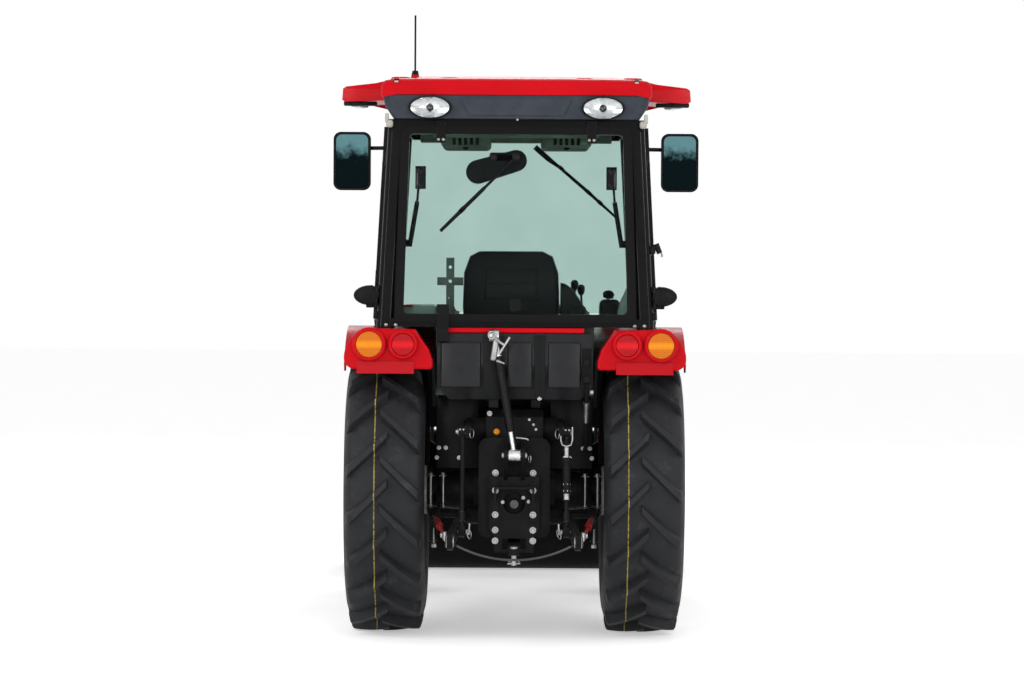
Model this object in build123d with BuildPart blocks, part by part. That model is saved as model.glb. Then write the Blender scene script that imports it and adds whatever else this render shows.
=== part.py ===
"""Compact farm tractor with a cab, a rear three-point hitch and a front loader.

Millimetres. +Y is forward, +X is the tractor's right-hand side and +Z is up.
The origin is on the ground below the middle of the whole machine, loader included.
"""

import os
from math import asin, cos, degrees, pi, radians, sin, sqrt, tan

from build123d import *

# ---------------------------------------------------------------- driving sizes
wheelbase = 1760
rear_reach = 905  # rear axle to the back of the lower links' ball ends
front_reach = 3325  # rear axle to the bucket's cutting edge
rear_axle_y = (rear_reach - front_reach) / 2
front_axle_y = rear_axle_y + wheelbase

running_clearance = 0.1  # shaft in its bore, radial
side_clearance = 1.5  # between an eye and the plate beside it
seat_gap = 0.3  # between pieces that are bolted or clipped together

# wheels
rear_tyre_radius = 605
rear_tyre_width = 340
rear_track = 1088
rear_rim_radius = 318
rear_rim_width = 290
rear_shaft_radius = 32
front_tyre_radius = 427
front_tyre_width = 240
front_track = 1190
front_rim_radius = 214
front_rim_width = 200
kingpin_x = 462
kingpin_radius = 20
spindle_radius = 22

rear_wheel_x = rear_track / 2
front_wheel_x = front_track / 2

# gearcase, engine and front frame
gearcase_half = 150
gearcase_rear_y = rear_axle_y - 380
gearcase_top = 850
gearcase_bottom = 430
lift_cover_top = 965
trumpet_radius = 72
trumpet_end_x = rear_wheel_x - rear_tyre_width / 2 - 2
engine_half = 175
engine_rear_y = rear_axle_y + 1050
engine_front_y = front_axle_y - 160
engine_bottom = 560
engine_top = 1180
gearcase_front_y = engine_rear_y - 300
rail_thickness = 24
rail_bottom = 520
rail_top = 640
nose_y = front_axle_y + 520
axle_beam_z = front_tyre_radius

# cab
cab_rear_y = rear_axle_y - 330  # middle of the rear posts
cab_mid_y = rear_axle_y + 30  # middle of the door posts
cab_front_y = rear_axle_y + 900  # foot of the front posts
front_post_rake = 40
belt_z = 1315
cab_half_base = 583  # half width over the posts at the belt
cab_half_top = 536
cab_top_z = 2185
post_width = 72
post_depth = 60
floor_z = 882
deck_z = 1040
plate = 14
glass_thickness = 6
window_half_base = 504
window_half_top = 479
window_bottom = 1336
window_top = 2156
window_border = 34
window_rear_y = cab_rear_y - 45

# fenders
fender_radius = rear_tyre_radius + 100
fender_wall = 12
fender_outer_x = rear_wheel_x + rear_tyre_width / 2 + 1
fender_inner_x = rear_wheel_x - rear_tyre_width / 2 - 40

# roof
roof_seat_z = 2282
roof_edge_z = 2335
roof_crown = 2386
roof_half = cab_half_top + 30
roof_rear_y = cab_rear_y - 140
roof_front_y = cab_front_y + 190
wing_half = roof_half + 177
wing_rear_y = cab_rear_y + 210
wing_bottom = 2262
wing_top = 2332

# hood
hood_rear_y = rear_axle_y + 962
hood_half = 285
hood_top = 1345
hood_wall = 10
hood_hinge_y = hood_rear_y - 5
hood_hinge_z = hood_top - 23
hood_pin_radius = 7

# three-point hitch
link_ball_radius = 35
link_ball_y = rear_axle_y - rear_reach + link_ball_radius
link_ball_z = 454
link_ball_x = 262
link_pivot_y = rear_axle_y - 160
link_pivot_z = 510
link_pivot_x = 215
link_thickness = 22
link_pin_radius = 14
rockshaft_y = rear_axle_y - 250
rockshaft_z = 880
rockshaft_radius = 30
lift_arm_x = 181  # inner face of a lift arm
lift_arm_thickness = 22
lift_arm_tip_y = rear_axle_y - 530
lift_arm_tip_z = 883
lift_pin_radius = 11
lift_rod_share = 0.634  # where the lift rods meet the lower links, from pivot to ball
top_link_y = gearcase_rear_y - 90
top_link_z = 782
top_link_length = 520
top_link_lean = 88
top_pin_radius = 12
pto_z = 580
pto_radius = 17.5
drawbar_z = 387
drawbar_height = 26
drawbar_hole_radius = 12.5

# loader
boom_x = 430
boom_width = 60
boom_pivot_y = engine_rear_y - 10
boom_pivot_z = 1340
boom_knee_y = front_axle_y + 490
boom_knee_z = 1035
bucket_pin_y = rear_axle_y + front_reach - 605
bucket_pin_z = 190
loader_pin_radius = 16
cylinder_pin_radius = 14
bucket_width = 1700
bucket_top = 455
bucket_wall = 8
bucket_back_offset = 65  # bucket pin to the bucket's back sheet
fork_plate = 12

both = (-1, 1)


# ---------------------------------------------------------------- helpers
def side_plane(x):
    """Sketch plane seen from the right: local x is forward, local y is up."""
    return Plane(origin=(x, 0, 0), x_dir=(0, 1, 0), z_dir=(1, 0, 0))


def cross_plane(y):
    """Sketch plane seen from behind: local x is right, local y is up, extrudes rearwards."""
    return Plane(origin=(0, y, 0), x_dir=(1, 0, 0), z_dir=(0, -1, 0))


def save(part, name):
    """Write one piece, labelled, as its own STEP file."""
    part.label = name
    export_step(part, f"parts/{name}.step")


def save_pair(part, name):
    """Write a right-hand piece and its mirror image."""
    save(part, f"{name}_right")
    save(mirror(part, about=Plane.YZ), f"{name}_left")


def block(x, y, z, mode=Mode.ADD):
    """A box from three (low, high) spans, added to or cut from the part being built."""
    with Locations(((x[0] + x[1]) / 2, (y[0] + y[1]) / 2, (z[0] + z[1]) / 2)):
        Box(x[1] - x[0], y[1] - y[0], z[1] - z[0], mode=mode)


def sided(side, near, far):
    """The (low, high) span between two distances from the middle, on one side."""
    return tuple(sorted((side * near, side * far)))


def bar_between(start, end, radius, mode=Mode.ADD):
    """A round bar, or bore, between two points."""
    a, b = Vector(*start), Vector(*end)
    with BuildSketch(Plane(origin=a, z_dir=b - a)) as section:
        Circle(radius)
    extrude(section.sketch, amount=(b - a).length, mode=mode)


def bar_x(x, y, z, radius, mode=Mode.ADD):
    """A round bar, or bore, along X between two X values."""
    bar_between((x[0], y, z), (x[1], y, z), radius, mode)


def post(base, top, width, depth, corner=10):
    """A rounded rectangular post between two points, its width along X."""
    a, b = Vector(*base), Vector(*top)
    with BuildSketch(Plane(origin=a, x_dir=(1, 0, 0), z_dir=b - a)) as section:
        RectangleRounded(width, depth, corner)
    extrude(section.sketch, amount=(b - a).length)


def tapered_plate(x, ends):
    """A plate between two X values, its outline the hull of (y, z, radius) ends."""
    with BuildSketch(side_plane(x[0])) as outline:
        for y, z, radius in ends:
            with Locations((y, z)):
                Circle(radius)
        make_hull()
    extrude(outline.sketch, amount=x[1] - x[0])


def profile(plane, points, depth, rounding=0.0, mode=Mode.ADD):
    """Extrude a straight-sided outline, with its corners rounded."""
    with BuildSketch(plane) as outline:
        with BuildLine():
            Polyline(*points, close=True)
        make_face()
        if rounding:
            fillet(outline.vertices(), rounding)
    extrude(outline.sketch, amount=depth, mode=mode)


def on_line(low, high, z):
    """The value at height z on the straight line through two (value, height) points."""
    return low[0] + (high[0] - low[0]) * (z - low[1]) / (high[1] - low[1])


def cab_side(z):
    """Half width over the posts at height z."""
    return on_line((cab_half_base, belt_z), (cab_half_top, cab_top_z), z)


def clear_fender():
    """Cut away what would reach into the fenders' arc, so that the piece sits on them."""
    bar_x((-wing_half, wing_half), rear_axle_y, rear_tyre_radius, fender_radius + seat_gap, mode=Mode.SUBTRACT)


os.makedirs("parts", exist_ok=True)


# ---------------------------------------------------------------- wheels
def revolved(y, axle_z, points):
    """Revolve an outline of (x, height above the axle) points about a wheel's axle."""
    with BuildSketch(cross_plane(y)) as section:
        with BuildLine():
            Polyline(*[(x, axle_z + height) for x, height in points], close=True)
        make_face()
    revolve(section.sketch, axis=Axis((0, y, axle_z), (1, 0, 0)))


def mirrored_outline(x, half):
    """Close a half outline of (distance from x, height) points by its mirror image."""
    return [(x - dx, height) for dx, height in half] + [(x + dx, height) for dx, height in reversed(half)]


def flat_facets(rings, closed=False):
    """Solid of flat four-cornered facets between rings of corners; closed joins the last ring to the first."""
    spans = list(zip(rings, rings[1:] + rings[:1] if closed else rings[1:]))
    corners = [(near[i - 1], near[i], far[i], far[i - 1]) for near, far in spans for i in range(len(near))]
    if not closed:
        corners += [rings[0], rings[-1]]
    return Solid(Shell([Face(Wire.make_polygon(points)) for points in corners]))


def wheel_ring(x, y, axle_z, radius, sides):
    """Corners of a regular outline about a wheel's axle."""
    turns = [2 * pi * i / sides for i in range(sides)]
    return [(x, y + radius * sin(turn), axle_z + radius * cos(turn)) for turn in turns]


def tyre_lugs(x, y, radius, width, lug):
    """Two staggered rows of slanted bars, each from the middle of the tread over its shoulder."""
    pitch = 360 / lug["count"]
    half_length = (lug["run"] + lug["width"]) / 2
    face = radius + sqrt(radius**2 - half_length**2)  # a lug's corners reach the full radius
    flare = lug["depth"] * tan(radians(9))
    for row, side in enumerate(both):
        ends = ((side * -lug["overlap"], lug["run"] / 2), (side * (width / 2 - lug["shoulder"]), -lug["run"] / 2))
        bar = flat_facets([
            [
                (x + dx, y + middle + edge * (lug["width"] / 2 + grow), face - drop)
                for (dx, middle), edge in ((ends[0], -1), (ends[0], 1), (ends[1], 1), (ends[1], -1))
            ]
            for grow, drop in ((0, 0), (flare, lug["depth"]))
        ])  # fmt: skip
        # one corner of the first row stands on the ground
        start = 180 - degrees(asin(half_length / radius)) + row * pitch / 2
        axis = Axis((0, y, radius), (1, 0, 0))
        add([bar.rotate(axis, start + index * pitch) for index in range(lug["count"])])


def build_tyre(x, y, radius, width, rim_radius, rim_width, lug):
    """A tyre: beads inside the rim flanges, bulging walls, tread with bar lugs."""
    half, bead, carcass = width / 2, rim_width / 2 - 12, radius - lug["height"]
    bore = (rim_radius - 12) / cos(pi / lug["sides"])  # the facets' middles touch the rim's barrel
    wall = [
        (bead, bore), (bead, rim_radius + 6), (half - 1, rim_radius + 0.5 * (radius - rim_radius)),
        (half - 34, carcass - 4),
    ]  # fmt: skip
    stations = [(-offset, ring_radius) for offset, ring_radius in wall] + wall[::-1]
    with BuildPart() as tyre:
        add(flat_facets([wheel_ring(x + dx, y, radius, r, lug["sides"]) for dx, r in stations], closed=True))
        tyre_lugs(x, y, radius, width, lug)
    return tyre.part


def rim_outline(x, rim_radius, rim_width):
    """Rim barrel with a flange at each edge."""
    edge, barrel = rim_width / 2, rim_radius - 12 - seat_gap
    half = [(edge, barrel - 8), (edge, rim_radius + 4), (edge - 11, rim_radius + 4), (edge - 11, barrel)]
    return mirrored_outline(x, half)


# bars in each row, facets round the carcass, and the bars' own sizes
rear_lug = {
    "count": 18, "sides": 27, "height": 38, "width": 40, "run": 150, "overlap": 14, "shoulder": 18, "depth": 88,
}  # fmt: skip
front_lug = {
    "count": 16, "sides": 28, "height": 27, "width": 30, "run": 104, "overlap": 10, "shoulder": 14, "depth": 62,
}  # fmt: skip

rear_tyre = build_tyre(
    rear_wheel_x, rear_axle_y, rear_tyre_radius, rear_tyre_width, rear_rim_radius, rear_rim_width, rear_lug
)
save_pair(rear_tyre, "rear_tyre")

front_tyre = build_tyre(
    front_wheel_x, front_axle_y, front_tyre_radius, front_tyre_width, front_rim_radius, front_rim_width, front_lug
)
save_pair(front_tyre, "front_tyre")

rear_hub_x = trumpet_end_x + seat_gap
with BuildPart() as rear_rim:
    revolved(rear_axle_y, rear_tyre_radius, rim_outline(rear_wheel_x, rear_rim_radius, rear_rim_width))
    dish = [
        (rear_hub_x, 0), (rear_hub_x, 105), (rear_hub_x + 74, 105), (rear_hub_x + 74, 120),
        (rear_hub_x + 118, 190), (rear_hub_x + 118, rear_rim_radius - 16), (rear_hub_x + 130, rear_rim_radius - 16),
        (rear_hub_x + 130, 184), (rear_hub_x + 92, 120), (rear_hub_x + 92, 84), (rear_hub_x + 130, 74),
        (rear_hub_x + 130, 0),
    ]  # fmt: skip
    revolved(rear_axle_y, rear_tyre_radius, dish)
    bar_x((rear_hub_x - 50, rear_hub_x + 5), rear_axle_y, rear_tyre_radius, rear_shaft_radius)
save_pair(rear_rim.part, "rear_rim")

knuckle_face_x = kingpin_x + 62
front_hub_x = knuckle_face_x + seat_gap
front_hub_length = 110
with BuildPart() as front_rim:
    revolved(front_axle_y, front_tyre_radius, rim_outline(front_wheel_x, front_rim_radius, front_rim_width))
    dish = [
        (front_hub_x, 0), (front_hub_x, 62), (front_hub_x + 48, 62), (front_hub_x + 48, 100),
        (front_hub_x + 78, 140), (front_hub_x + 78, front_rim_radius - 16),
        (front_hub_x + 90, front_rim_radius - 16), (front_hub_x + 90, 134), (front_hub_x + 60, 96),
        (front_hub_x + 60, 56), (front_hub_x + front_hub_length, 44), (front_hub_x + front_hub_length, 0),
    ]  # fmt: skip
    revolved(front_axle_y, front_tyre_radius, dish)
    bar_x(
        (front_hub_x - 5, front_hub_x + front_hub_length - 15), front_axle_y, front_tyre_radius,
        spindle_radius + running_clearance, mode=Mode.SUBTRACT,
    )  # fmt: skip
save_pair(front_rim.part, "front_rim")

# ---------------------------------------------------------------- transmission and rear axle
gearcase_mid_z = (gearcase_top + gearcase_bottom) / 2
gearcase_height = gearcase_top - gearcase_bottom
with BuildPart() as transmission:
    with BuildSketch(cross_plane(gearcase_front_y)):
        with Locations((0, gearcase_mid_z)):
            RectangleRounded(2 * gearcase_half, gearcase_height, 40)
    extrude(amount=gearcase_front_y - gearcase_rear_y)
    # differential housing bulges round the axle
    with BuildSketch(Plane.YZ.offset(-gearcase_half - 22)):
        with Locations((rear_axle_y, rear_tyre_radius)):
            RegularPolygon(150, 8, rotation=22.5)
    extrude(amount=2 * gearcase_half + 44)
    # clutch housing flares out to the engine
    with BuildSketch(cross_plane(gearcase_front_y)):
        with Locations((0, gearcase_mid_z)):
            RectangleRounded(2 * gearcase_half - 4, gearcase_height - 4, 40)
    with BuildSketch(cross_plane(engine_rear_y - seat_gap)):
        with Locations((0, gearcase_mid_z)):
            RectangleRounded(2 * engine_half, gearcase_height, 60)
    loft()
    # joint flanges round the case
    for flange_y in (rear_axle_y + 190, gearcase_front_y):
        with BuildSketch(cross_plane(flange_y + 10)):
            with Locations((0, gearcase_mid_z)):
                RectangleRounded(2 * gearcase_half + 28, gearcase_height - 10, 50)
        extrude(amount=20)
    # lift cover with the rockshaft's bearing bosses
    profile(
        side_plane(-120),
        [
            (rear_axle_y - 330, gearcase_top - 10), (rear_axle_y - 330, lift_cover_top - 30),
            (rear_axle_y - 290, lift_cover_top), (rear_axle_y + 90, lift_cover_top),
            (rear_axle_y + 140, gearcase_top - 10),
        ],
        240,
    )  # fmt: skip
    rockshaft_boss_x = lift_arm_x - side_clearance
    bar_x((-rockshaft_boss_x, rockshaft_boss_x), rockshaft_y, rockshaft_z, 52)
    # tapered axle trumpets with brake housings and end flanges
    for side in both:
        with BuildSketch(side_plane(side * gearcase_half)):
            with Locations((rear_axle_y, rear_tyre_radius)):
                Circle(trumpet_radius + 22)
        with BuildSketch(side_plane(side * (trumpet_end_x - 20))):
            with Locations((rear_axle_y, rear_tyre_radius)):
                Circle(trumpet_radius)
        loft()
        bar_x(sided(side, trumpet_end_x - 24, trumpet_end_x), rear_axle_y, rear_tyre_radius, 118)
        bar_x(sided(side, gearcase_half + 15, gearcase_half + 62), rear_axle_y, rear_tyre_radius, 116)
        # hanger for the outer end of the links' cross pin
        tapered_plate(
            sided(side, 318, 330),
            ((rear_axle_y, rear_tyre_radius, 60), (link_pivot_y, link_pivot_z, 26)),
        )  # fmt: skip
        bar_x(sided(side, 180, 360), link_pivot_y, link_pivot_z, link_pin_radius)
    # bosses for the links' cross pin
    link_boss_x = link_pivot_x - link_thickness / 2 - side_clearance
    bar_x((-link_boss_x, link_boss_x), link_pivot_y, link_pivot_z, 38)
    # bores for the rockshaft and the wheels' shafts
    bar_x((-200, 200), rockshaft_y, rockshaft_z, rockshaft_radius + running_clearance, mode=Mode.SUBTRACT)
    for side in both:
        bore = sided(side, trumpet_end_x - 60, trumpet_end_x + 5)
        bar_x(bore, rear_axle_y, rear_tyre_radius, rear_shaft_radius + running_clearance, mode=Mode.SUBTRACT)
save(transmission.part, "transmission")

casting_front_y = gearcase_rear_y - seat_gap
casting_rear_y = gearcase_rear_y - 42
casting_mid_y = (casting_front_y + casting_rear_y) / 2
guide_half = 82
with BuildPart() as hitch_bracket:
    profile(
        cross_plane(casting_front_y),
        [(-104, 690), (-104, 470), (-82, 440), (-82, 372), (82, 372), (82, 440), (104, 470), (104, 690)],
        casting_front_y - casting_rear_y,
    )
    # round opening for the power take-off, slot for the drawbar
    bar_between((0, casting_front_y + 5, pto_z), (0, casting_rear_y - 5, pto_z), 46, mode=Mode.SUBTRACT)
    block(
        (-50, 50), (casting_rear_y - 5, casting_front_y + 5),
        (drawbar_z - seat_gap, drawbar_z + drawbar_height + 18), mode=Mode.SUBTRACT,
    )  # fmt: skip
    # guard lip over the power take-off
    block((-84, 84), (casting_rear_y - 70, casting_rear_y + 5), (pto_z + 62, pto_z + 70))
    for side in both:
        block(sided(side, 76, 84), (casting_rear_y - 70, casting_rear_y + 5), (pto_z + 10, pto_z + 70))
        # top link tower
        tapered_plate(
            sided(side, 28, 44),
            ((casting_mid_y, 680, 20), (casting_mid_y, 822, 20), (top_link_y, top_link_z, 24)),
        )  # fmt: skip
        # bolt strips down the casting
        block(sided(side, 66, 92), (casting_rear_y - 8, casting_rear_y + 5), (500, 676))
    bar_x((-52, 52), top_link_y, top_link_z, top_pin_radius)
save(hitch_bracket.part, "hitch_bracket")

with BuildPart() as drawbar:
    drawbar_end_y = gearcase_rear_y - 340
    drawbar_mid_z = drawbar_z + drawbar_height / 2
    drawbar_front_y = rear_axle_y + 120
    block((-26, 26), (drawbar_end_y, drawbar_front_y), (drawbar_z, drawbar_z + drawbar_height))
    with Locations((0, drawbar_end_y, drawbar_mid_z)):
        Cylinder(26, drawbar_height)
        Cylinder(drawbar_hole_radius, drawbar_height + 4, mode=Mode.SUBTRACT)
    # front end is bolted up to the gearcase
    block((-26, 26), (drawbar_front_y - 60, drawbar_front_y), (drawbar_z, gearcase_bottom - seat_gap))
save(drawbar.part, "drawbar")

with BuildPart() as pto_shaft:
    shaft_end = (0, gearcase_rear_y - 120, pto_z)
    bar_between((0, gearcase_rear_y - seat_gap, pto_z), shaft_end, pto_radius)
save(pto_shaft.part, "pto_shaft")

# ---------------------------------------------------------------- engine, front frame and front axle
engine_corner = 20
with BuildPart() as engine:
    block((-engine_half, engine_half), (engine_rear_y, engine_front_y), (engine_bottom, engine_top))
    fillet(engine.edges().filter_by(Axis.Y), engine_corner)
save(engine.part, "engine")

with BuildPart() as radiator:
    core_front_y = engine_front_y + 170
    block((-220, 220), (core_front_y - 80, core_front_y), (rail_top + seat_gap, hood_top - 215))
    battery_front_y = nose_y - 230
    block((-150, 150), (battery_front_y - 160, battery_front_y), (rail_top + seat_gap, rail_top + 210))
save(radiator.part, "radiator")

rail_inner = engine_half + seat_gap
rail_outer = rail_inner + rail_thickness
rail_rear_y = engine_rear_y - 80
cradle_half = 67  # from the axle's middle to the near face of a cradle
cradle_depth = 30
cradle_pin_radius = 22
with BuildPart() as front_frame:
    for side in both:
        block(sided(side, rail_inner, rail_outer), (rail_rear_y, nose_y - 20), (rail_bottom, rail_top))
    # front casting between and ahead of the rails, with a tow slot
    profile(
        cross_plane(nose_y + 20),
        [
            (-rail_outer, rail_top + 50), (-rail_outer, rail_bottom), (-rail_outer + 40, rail_bottom - 50),
            (rail_outer - 40, rail_bottom - 50), (rail_outer, rail_bottom), (rail_outer, rail_top + 50),
        ],
        60,
    )  # fmt: skip
    block((-45, 45), (nose_y - 50, nose_y + 30), (rail_bottom - 20, rail_bottom + 20), mode=Mode.SUBTRACT)
    block((-rail_inner, rail_inner), (engine_front_y + 60, nose_y - 30), (rail_top - 20, rail_top))
    # cradles and the pin that carry the axle beam
    for y in (front_axle_y - cradle_half - cradle_depth, front_axle_y + cradle_half):
        block((-rail_inner, rail_inner), (y, y + cradle_depth), (rail_bottom, rail_top - 10))
        with BuildSketch(cross_plane(y + cradle_depth)):
            for x, z, radius in (
                (-90, rail_bottom + 20, 30), (90, rail_bottom + 20, 30), (0, axle_beam_z, cradle_pin_radius + 16),
            ):  # fmt: skip
                with Locations((x, z)):
                    Circle(radius)
            make_hull()
        extrude(amount=cradle_depth)
    cradle_reach = cradle_half + cradle_depth + 3
    axle_pin = ((0, front_axle_y + cradle_reach, axle_beam_z), (0, front_axle_y - cradle_reach, axle_beam_z))
    bar_between(*axle_pin, cradle_pin_radius)
save(front_frame.part, "front_frame")

housing_half = 65  # half height of the kingpin housing
beam_end_x = kingpin_x - 70
with BuildPart() as front_axle:
    # beam drops in the middle and narrows to its ends
    profile(
        cross_plane(front_axle_y + cradle_half - 5),
        [
            (-beam_end_x, axle_beam_z - 42), (-120, axle_beam_z - 62), (120, axle_beam_z - 62),
            (beam_end_x, axle_beam_z - 42), (beam_end_x, axle_beam_z + 42), (120, axle_beam_z + 48),
            (-120, axle_beam_z + 48), (-beam_end_x, axle_beam_z + 42),
        ],
        2 * (cradle_half - 5), 12,
    )  # fmt: skip
    for side in both:
        with Locations((side * kingpin_x, front_axle_y, axle_beam_z)):
            Cylinder(46, 2 * housing_half)
        arm_half = 42
        block(
            sided(side, beam_end_x - 10, kingpin_x), (front_axle_y - arm_half, front_axle_y + arm_half),
            (axle_beam_z - arm_half, axle_beam_z + arm_half),
        )  # fmt: skip
        with Locations((side * kingpin_x, front_axle_y, axle_beam_z)):
            Cylinder(kingpin_radius + running_clearance, 2 * housing_half + 10, mode=Mode.SUBTRACT)
    bar_between(*axle_pin, cradle_pin_radius + running_clearance, mode=Mode.SUBTRACT)
save(front_axle.part, "front_axle")

knuckle_ear = 28
with BuildPart() as knuckle:
    ear_gap = housing_half + side_clearance
    with Locations((kingpin_x, front_axle_y, axle_beam_z)):
        Cylinder(kingpin_radius, 2 * ear_gap + 2 * knuckle_ear - 6)
    # C-shaped yoke round the kingpin housing
    for z in (axle_beam_z + ear_gap, axle_beam_z - ear_gap - knuckle_ear):
        with BuildSketch(Plane.XY.offset(z)) as ear:
            with Locations((kingpin_x, front_axle_y)):
                Circle(40)
            with Locations((knuckle_face_x - 12, front_axle_y - 34), (knuckle_face_x - 12, front_axle_y + 34)):
                Circle(12)
            make_hull()
        extrude(ear.sketch, amount=knuckle_ear)
    block(
        (kingpin_x + 49, knuckle_face_x), (front_axle_y - 46, front_axle_y + 46),
        (axle_beam_z - ear_gap - knuckle_ear, axle_beam_z + ear_gap + knuckle_ear),
    )  # fmt: skip
    spindle_end_x = front_hub_x + front_hub_length - 20
    bar_x((knuckle_face_x - 5, spindle_end_x), front_axle_y, axle_beam_z, spindle_radius)
    # steering arm points back
    with BuildSketch(Plane.XY.offset(axle_beam_z + ear_gap)) as arm:
        with Locations((kingpin_x - 26, front_axle_y - 130)):
            Circle(18)
        with Locations((kingpin_x - 10, front_axle_y)):
            Circle(28)
        make_hull()
    extrude(arm.sketch, amount=24)
save_pair(knuckle.part, "knuckle")

# ---------------------------------------------------------------- fenders, lamp housings, tank
fender_front_angle = 53
fender_rear_angle = 128
arch_front_angle = 20
fender_lip = 40


def arc_band(x, inner, outer, start, end):
    """Part of a ring about the rear axle between two angles above the horizontal."""
    middle = (start + end) / 2
    corners = ((inner, start), (inner, middle), (inner, end), (outer, end), (outer, middle), (outer, start))
    points = [
        (rear_axle_y + radius * cos(radians(angle)), rear_tyre_radius + radius * sin(radians(angle)))
        for radius, angle in corners
    ]
    with BuildSketch(side_plane(x[0])) as band:
        with BuildLine():
            ThreePointArc(*points[:3])
            Line(points[2], points[3])
            ThreePointArc(*points[3:])
            Line(points[5], points[0])
        make_face()
    extrude(band.sketch, amount=x[1] - x[0])


fender_step_x = cab_half_base
with BuildPart() as fenders:
    crown = (fender_radius - fender_wall, fender_radius)
    arc_band((fender_step_x, fender_outer_x), *crown, fender_front_angle, fender_rear_angle)
    arc_band((fender_inner_x, fender_step_x), *crown, arch_front_angle, fender_rear_angle)
    # outer lip turns down
    arc_band(
        (fender_outer_x - 8, fender_outer_x), fender_radius - fender_lip, fender_radius,
        fender_front_angle, fender_rear_angle,
    )  # fmt: skip
    # inner wall beside the deck
    arc_band(
        (fender_inner_x, fender_inner_x + fender_wall), fender_radius - 235, fender_radius,
        arch_front_angle, fender_rear_angle,
    )  # fmt: skip
    mirror(about=Plane.YZ)
save(fenders.part, "fenders")

lamp_plane_y = rear_axle_y - 480
lamp_housing_depth = 118
bezel_depth = 20
lamp_z = belt_z - 72
reflector = ((fender_outer_x - 294, fender_outer_x - 55), (belt_z - 194, belt_z - 143))
housing_foot_z = belt_z - 176
lamp_specs = (  # colour, x, lens radius, bezel radius
    ("amber", fender_outer_x - 107, 55, 70),
    ("red", fender_outer_x - 248, 47, 62),
)
with BuildPart() as lamp_housings:
    # the outer side bulges, the inner side slopes in towards the top
    with BuildSketch(cross_plane(lamp_plane_y + lamp_housing_depth)) as housing:
        with BuildLine():
            foot = (fender_outer_x - 372, housing_foot_z)
            knee = (fender_outer_x - 355, belt_z - 92)
            crest = (fender_outer_x - 296, belt_z - 10)
            Line((fender_outer_x - 42, housing_foot_z), foot)
            Line(foot, (foot[0], belt_z - 140))
            Line((foot[0], belt_z - 140), knee)
            Line(knee, crest)
            Line(crest, (fender_outer_x - 96, belt_z - 6))
            ThreePointArc(
                (fender_outer_x - 96, belt_z - 6), (fender_outer_x - 18, belt_z - 66), (fender_outer_x - 1, belt_z - 130)
            )
            ThreePointArc(
                (fender_outer_x - 1, belt_z - 130), (fender_outer_x - 14, belt_z - 162), (fender_outer_x - 42, housing_foot_z)
            )
        make_face()
        fillet(housing.vertices().group_by(Axis.X)[0], 14)
    extrude(housing.sketch, amount=lamp_housing_depth)
    fillet(lamp_housings.faces().sort_by(Axis.Y)[0].edges(), 9)
    clear_fender()
    for colour, x, lens, bezel in lamp_specs:
        bar_between((x, lamp_plane_y + 5, lamp_z), (x, lamp_plane_y - bezel_depth, lamp_z), bezel)
        bar_between((x, lamp_plane_y, lamp_z), (x, lamp_plane_y - bezel_depth - 5, lamp_z), lens, mode=Mode.SUBTRACT)
    # shallow seat of the reflector
    block(reflector[0], (lamp_plane_y - 5, lamp_plane_y + 12), reflector[1], mode=Mode.SUBTRACT)
    mirror(about=Plane.YZ)
save(lamp_housings.part, "lamp_housings")

for colour, x, lens, bezel in lamp_specs:
    with BuildPart() as lens_part:
        bar_between(
            (x, lamp_plane_y - seat_gap, lamp_z), (x, lamp_plane_y - bezel_depth - 6, lamp_z), lens - seat_gap
        )
        fillet(lens_part.edges().sort_by(Axis.Y)[0], 5)
        if colour == "red":
            block(
                (reflector[0][0] + seat_gap, reflector[0][1] - seat_gap), (lamp_plane_y - 8, lamp_plane_y + 12 - seat_gap),
                (reflector[1][0] + seat_gap, reflector[1][1] - seat_gap),
            )  # fmt: skip
        mirror(about=Plane.YZ)
    save(lens_part.part, f"{colour}_lenses")

rear_wall_y = cab_rear_y + 14
tank_front_y = rear_wall_y - seat_gap
tank_half = fender_inner_x - 8
tank_top = belt_z - 24
tank_bottom = belt_z - 306
tank_rear_y = cab_rear_y - 92
with BuildPart() as fuel_tank:
    # chamfered lower corners seen from behind, underside that rises rearwards seen from the side
    profile(
        cross_plane(tank_front_y),
        [
            (-tank_half, tank_top), (-tank_half, tank_bottom + 60), (-tank_half + 50, tank_bottom),
            (tank_half - 50, tank_bottom), (tank_half, tank_bottom + 60), (tank_half, tank_top),
        ],
        tank_front_y - tank_rear_y, 16,
    )  # fmt: skip
    profile(
        side_plane(-tank_half - 5),
        [
            (tank_front_y, tank_top), (tank_rear_y + 12, tank_top), (tank_rear_y, tank_top - 60),
            (tank_rear_y, tank_bottom + 150), (tank_rear_y + 78, tank_bottom), (tank_front_y, tank_bottom),
        ],
        2 * tank_half + 10, 9, mode=Mode.INTERSECT,
    )  # fmt: skip
    # two upright grooves for the straps
    for side in both:
        block(
            sided(side, 92, 122), (tank_rear_y - 5, tank_rear_y + 14), (tank_bottom - 5, tank_top + 5), mode=Mode.SUBTRACT
        )
save(fuel_tank.part, "fuel_tank")

with BuildPart() as rear_panel:
    panel_half = tank_half - 38
    block((-panel_half, panel_half), (cab_rear_y - 78, tank_front_y), (tank_top + seat_gap, belt_z - 3))
    fillet(rear_panel.edges().filter_by(Axis.X).sort_by(Axis.Y)[:2], 6)
save(rear_panel.part, "rear_panel")

# ---------------------------------------------------------------- cab
# doors hang on the door posts and open from the front edge
door_x = cab_half_base + 4
door_lean = Vector(cab_half_top - cab_half_base, 0, cab_top_z - belt_z)
door_plane = Plane(origin=(door_x, 0, belt_z), x_dir=(0, 1, 0), z_dir=door_lean.cross(Vector(0, 1, 0)) * -1)
door_thickness = 26
hinge_y = cab_mid_y - 38
hinge_heights = (130, cab_top_z - belt_z - 170)  # above the belt, along the post
hinge_pin_radius = 6


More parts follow.
